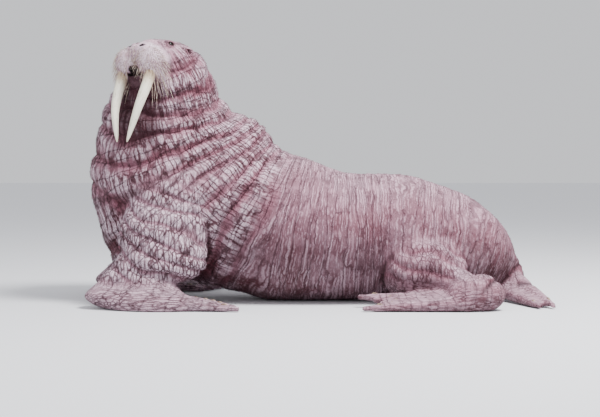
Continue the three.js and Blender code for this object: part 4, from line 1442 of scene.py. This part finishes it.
def whiskers(side_name, s):
    draw = np.random.default_rng(31 if s > 0 else 47)
    roots, ways, across, down = whisker_roots(s, draw)
    low = (1 + ways @ down) / 2
    lengths = 26 + 74 * low**2.2 + draw.uniform(-6, 16, len(roots)) * (0.4 + low)
    lie = unit(slope(on_floor, roots)) + down * (0.75 + 0.7 * low)[:, None]
    lie += across * (0.4 * (ways @ across))[:, None]
    lie = unit(lie + draw.normal(0, 0.1, lie.shape))
    droops = down * (lengths * 0.22)[:, None] + draw.normal(0, 1.6, lie.shape)
    radii = 1.1 + 0.75 * low + draw.uniform(-0.2, 0.2, len(roots))
    middles, ends = (roots + lie * (lengths * t)[:, None] + droops * t**2 for t in (0.5, 1.0))
    clear = (fine(ends) > 5) & (fine(middles) > 2)
    kept = [part[clear] for part in (roots - lie * 3, lie, droops, lengths, radii)]
    piece = many_tubes("whiskers_" + side_name, *kept)
    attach(piece, "root")
    print("whiskers", side_name, int(clear.sum()))
    return piece


def bristle_finish():
    finish, tree, shader = new_finish("whisker_horn", Roughness=0.35, Specular_IOR_Level=0.5)
    shade = noise(geometry(tree), 60, 2)
    pale = shade.between(0.35, 0.65).paint(colour(160, 128, 118), colour(228, 212, 196))
    root = 1 - stored(tree, "share").between(0.0, 0.6)
    feed(shader, Base_Color=(root * 0.85).paint(pale, colour(92, 56, 56)))
    return finish


whisker_horn = bristle_finish()
for side_name, s in SIDES.items():
    whiskers(side_name, s).data.materials.append(whisker_horn)

# %% [markdown]
# Claws
#
# Each digit has a small claw on top, set back from the edge of the flipper. On the fore flippers
# they are little more than horny buttons. Each one is a short bowed horn with its root sunk in.

# %% Claws
CLAW_LENGTH, CLAW_RADIUS, CLAW_SET_BACK = 46.0, 9.0, 112.0
CLAW_RINGS, CLAW_AROUND = 9, 12


def claws(name, digits):
    """The claws of one flipper as one mesh."""
    vertices, polygons, shares = [], [], []
    for root, tip, (thick_root, thick_tip) in digits:
        way = unit(tip - root)
        back = CLAW_SET_BACK / np.linalg.norm(tip - root)
        half = thick_tip + (thick_root - thick_tip) * back
        above = unit(up - way * way[2])
        nail_root = tip - way * CLAW_SET_BACK
        start = nail_root + above * (half - 2 * CLAW_RADIUS)
        middle = nail_root + way * CLAW_LENGTH / 2 + above * (half + CLAW_RADIUS)
        end = nail_root + way * CLAW_LENGTH + above * (half - 2)
        t = np.linspace(0, 1, CLAW_RINGS)[:, None]
        places = start * (1 - t) ** 2 + 2 * middle * t * (1 - t) + end * t**2
        wide = CLAW_RADIUS * np.sqrt(1 - t[:, 0] ** 3 * 0.96)
        spots, sides = loft(places, np.cross(above, way), wide, wide * 0.8, CLAW_AROUND)
        polygons += [[i + len(vertices) for i in side] for side in sides]
        vertices += spots.tolist()
        shares += [*np.repeat(t[:, 0], CLAW_AROUND), 0.0, 1.0]
    piece = add_mesh("claws_" + name, in_metres(vertices), polygons)
    add_value(piece, "share", shares)
    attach(piece, "root")
    return piece


def claw_finish():
    finish, tree, shader = new_finish("claw_horn", Roughness=0.4, Specular_IOR_Level=0.5)
    streaks = noise(geometry(tree), 150, 3)
    horn = streaks.between(0.3, 0.7).paint(colour(92, 66, 60), colour(140, 112, 98))
    tipped = stored(tree, "share").between(0.5, 1.0).paint(horn, colour(190, 168, 146))
    feed(shader, Base_Color=tipped)
    return finish


claw_horn = claw_finish()
for name, (_, digits) in limbs.items():
    claws(name, digits).data.materials.append(claw_horn)
print("claws: 5 on each flipper")

# %% [markdown]
# Floor, light and camera
#
# The animal lies on a plain pale floor. A large soft lamp hangs above it, to the right and on the
# camera's side, and models the form, and a weaker one on the left fills the shadows. The camera
# stands seven metres away at the height of a kneeling person. It looks along +Y and a little down.

# %% Floor
def floor():
    pale = colour(238, 239, 243)
    corners = [[x, y, -0.001] for x, y in ((-40, -30), (40, -30), (40, 60), (-40, 60))]
    plane = add_mesh("floor", corners, [[0, 1, 2, 3]], False)
    plane.data.materials.append(new_finish("studio_floor", Roughness=0.85, Base_Color=pale)[0])


floor()

# %% Light
def lamp(name, place, aim, energy, size):
    """A round soft lamp: its place, what it is aimed at, its watts and its diameter."""
    data = bpy.data.lights.new(name, "AREA")
    data.energy = energy
    data.shape, data.size = "DISK", size
    light = bpy.data.objects.new(name, data)
    light.location = place
    light.rotation_euler = (Vector(aim) - Vector(place)).to_track_quat("-Z", "Y").to_euler()
    bpy.context.scene.collection.objects.link(light)


world = bpy.data.worlds.new("studio")
bpy.context.scene.world = world
world.use_nodes = True
sky = world.node_tree.nodes["Background"].inputs
sky["Color"].default_value = (0.95, 0.96, 1.0, 1)
sky["Strength"].default_value = 0.9
lamp("key", (2.4, -2.2, 6.0), (0, 0, 0.6), 820, 2.2)
lamp("fill", (-5.5, -4.5, 2.6), (-0.4, 0, 0.8), 60, 3.5)
print("lamps placed")

# %% Camera
CAMERA_AT = np.array([-96.0, -7000.0, 800.0])
VIEW_HALF_WIDTH = 1.86 / 7.0  # metres seen to either side of the middle, for each metre away
PICTURE_MIDDLE, HORIZON, FOCAL_LENGTH = 208.5, 169.5, 1129.0  # rows and pixels of the picture
VIEW_TILT = math.atan((PICTURE_MIDDLE - HORIZON) / FOCAL_LENGTH)
SENSOR = 36.0


def camera():
    data = bpy.data.cameras.new("camera")
    data.sensor_width = SENSOR
    data.lens = SENSOR / 2 / VIEW_HALF_WIDTH
    seen = bpy.data.objects.new("camera", data)
    seen.location = in_metres(CAMERA_AT)
    seen.rotation_euler = (math.pi / 2 - VIEW_TILT, 0, 0)
    bpy.context.scene.collection.objects.link(seen)
    bpy.context.scene.camera = seen
    print("camera at", [round(v, 3) for v in seen.location])


camera()
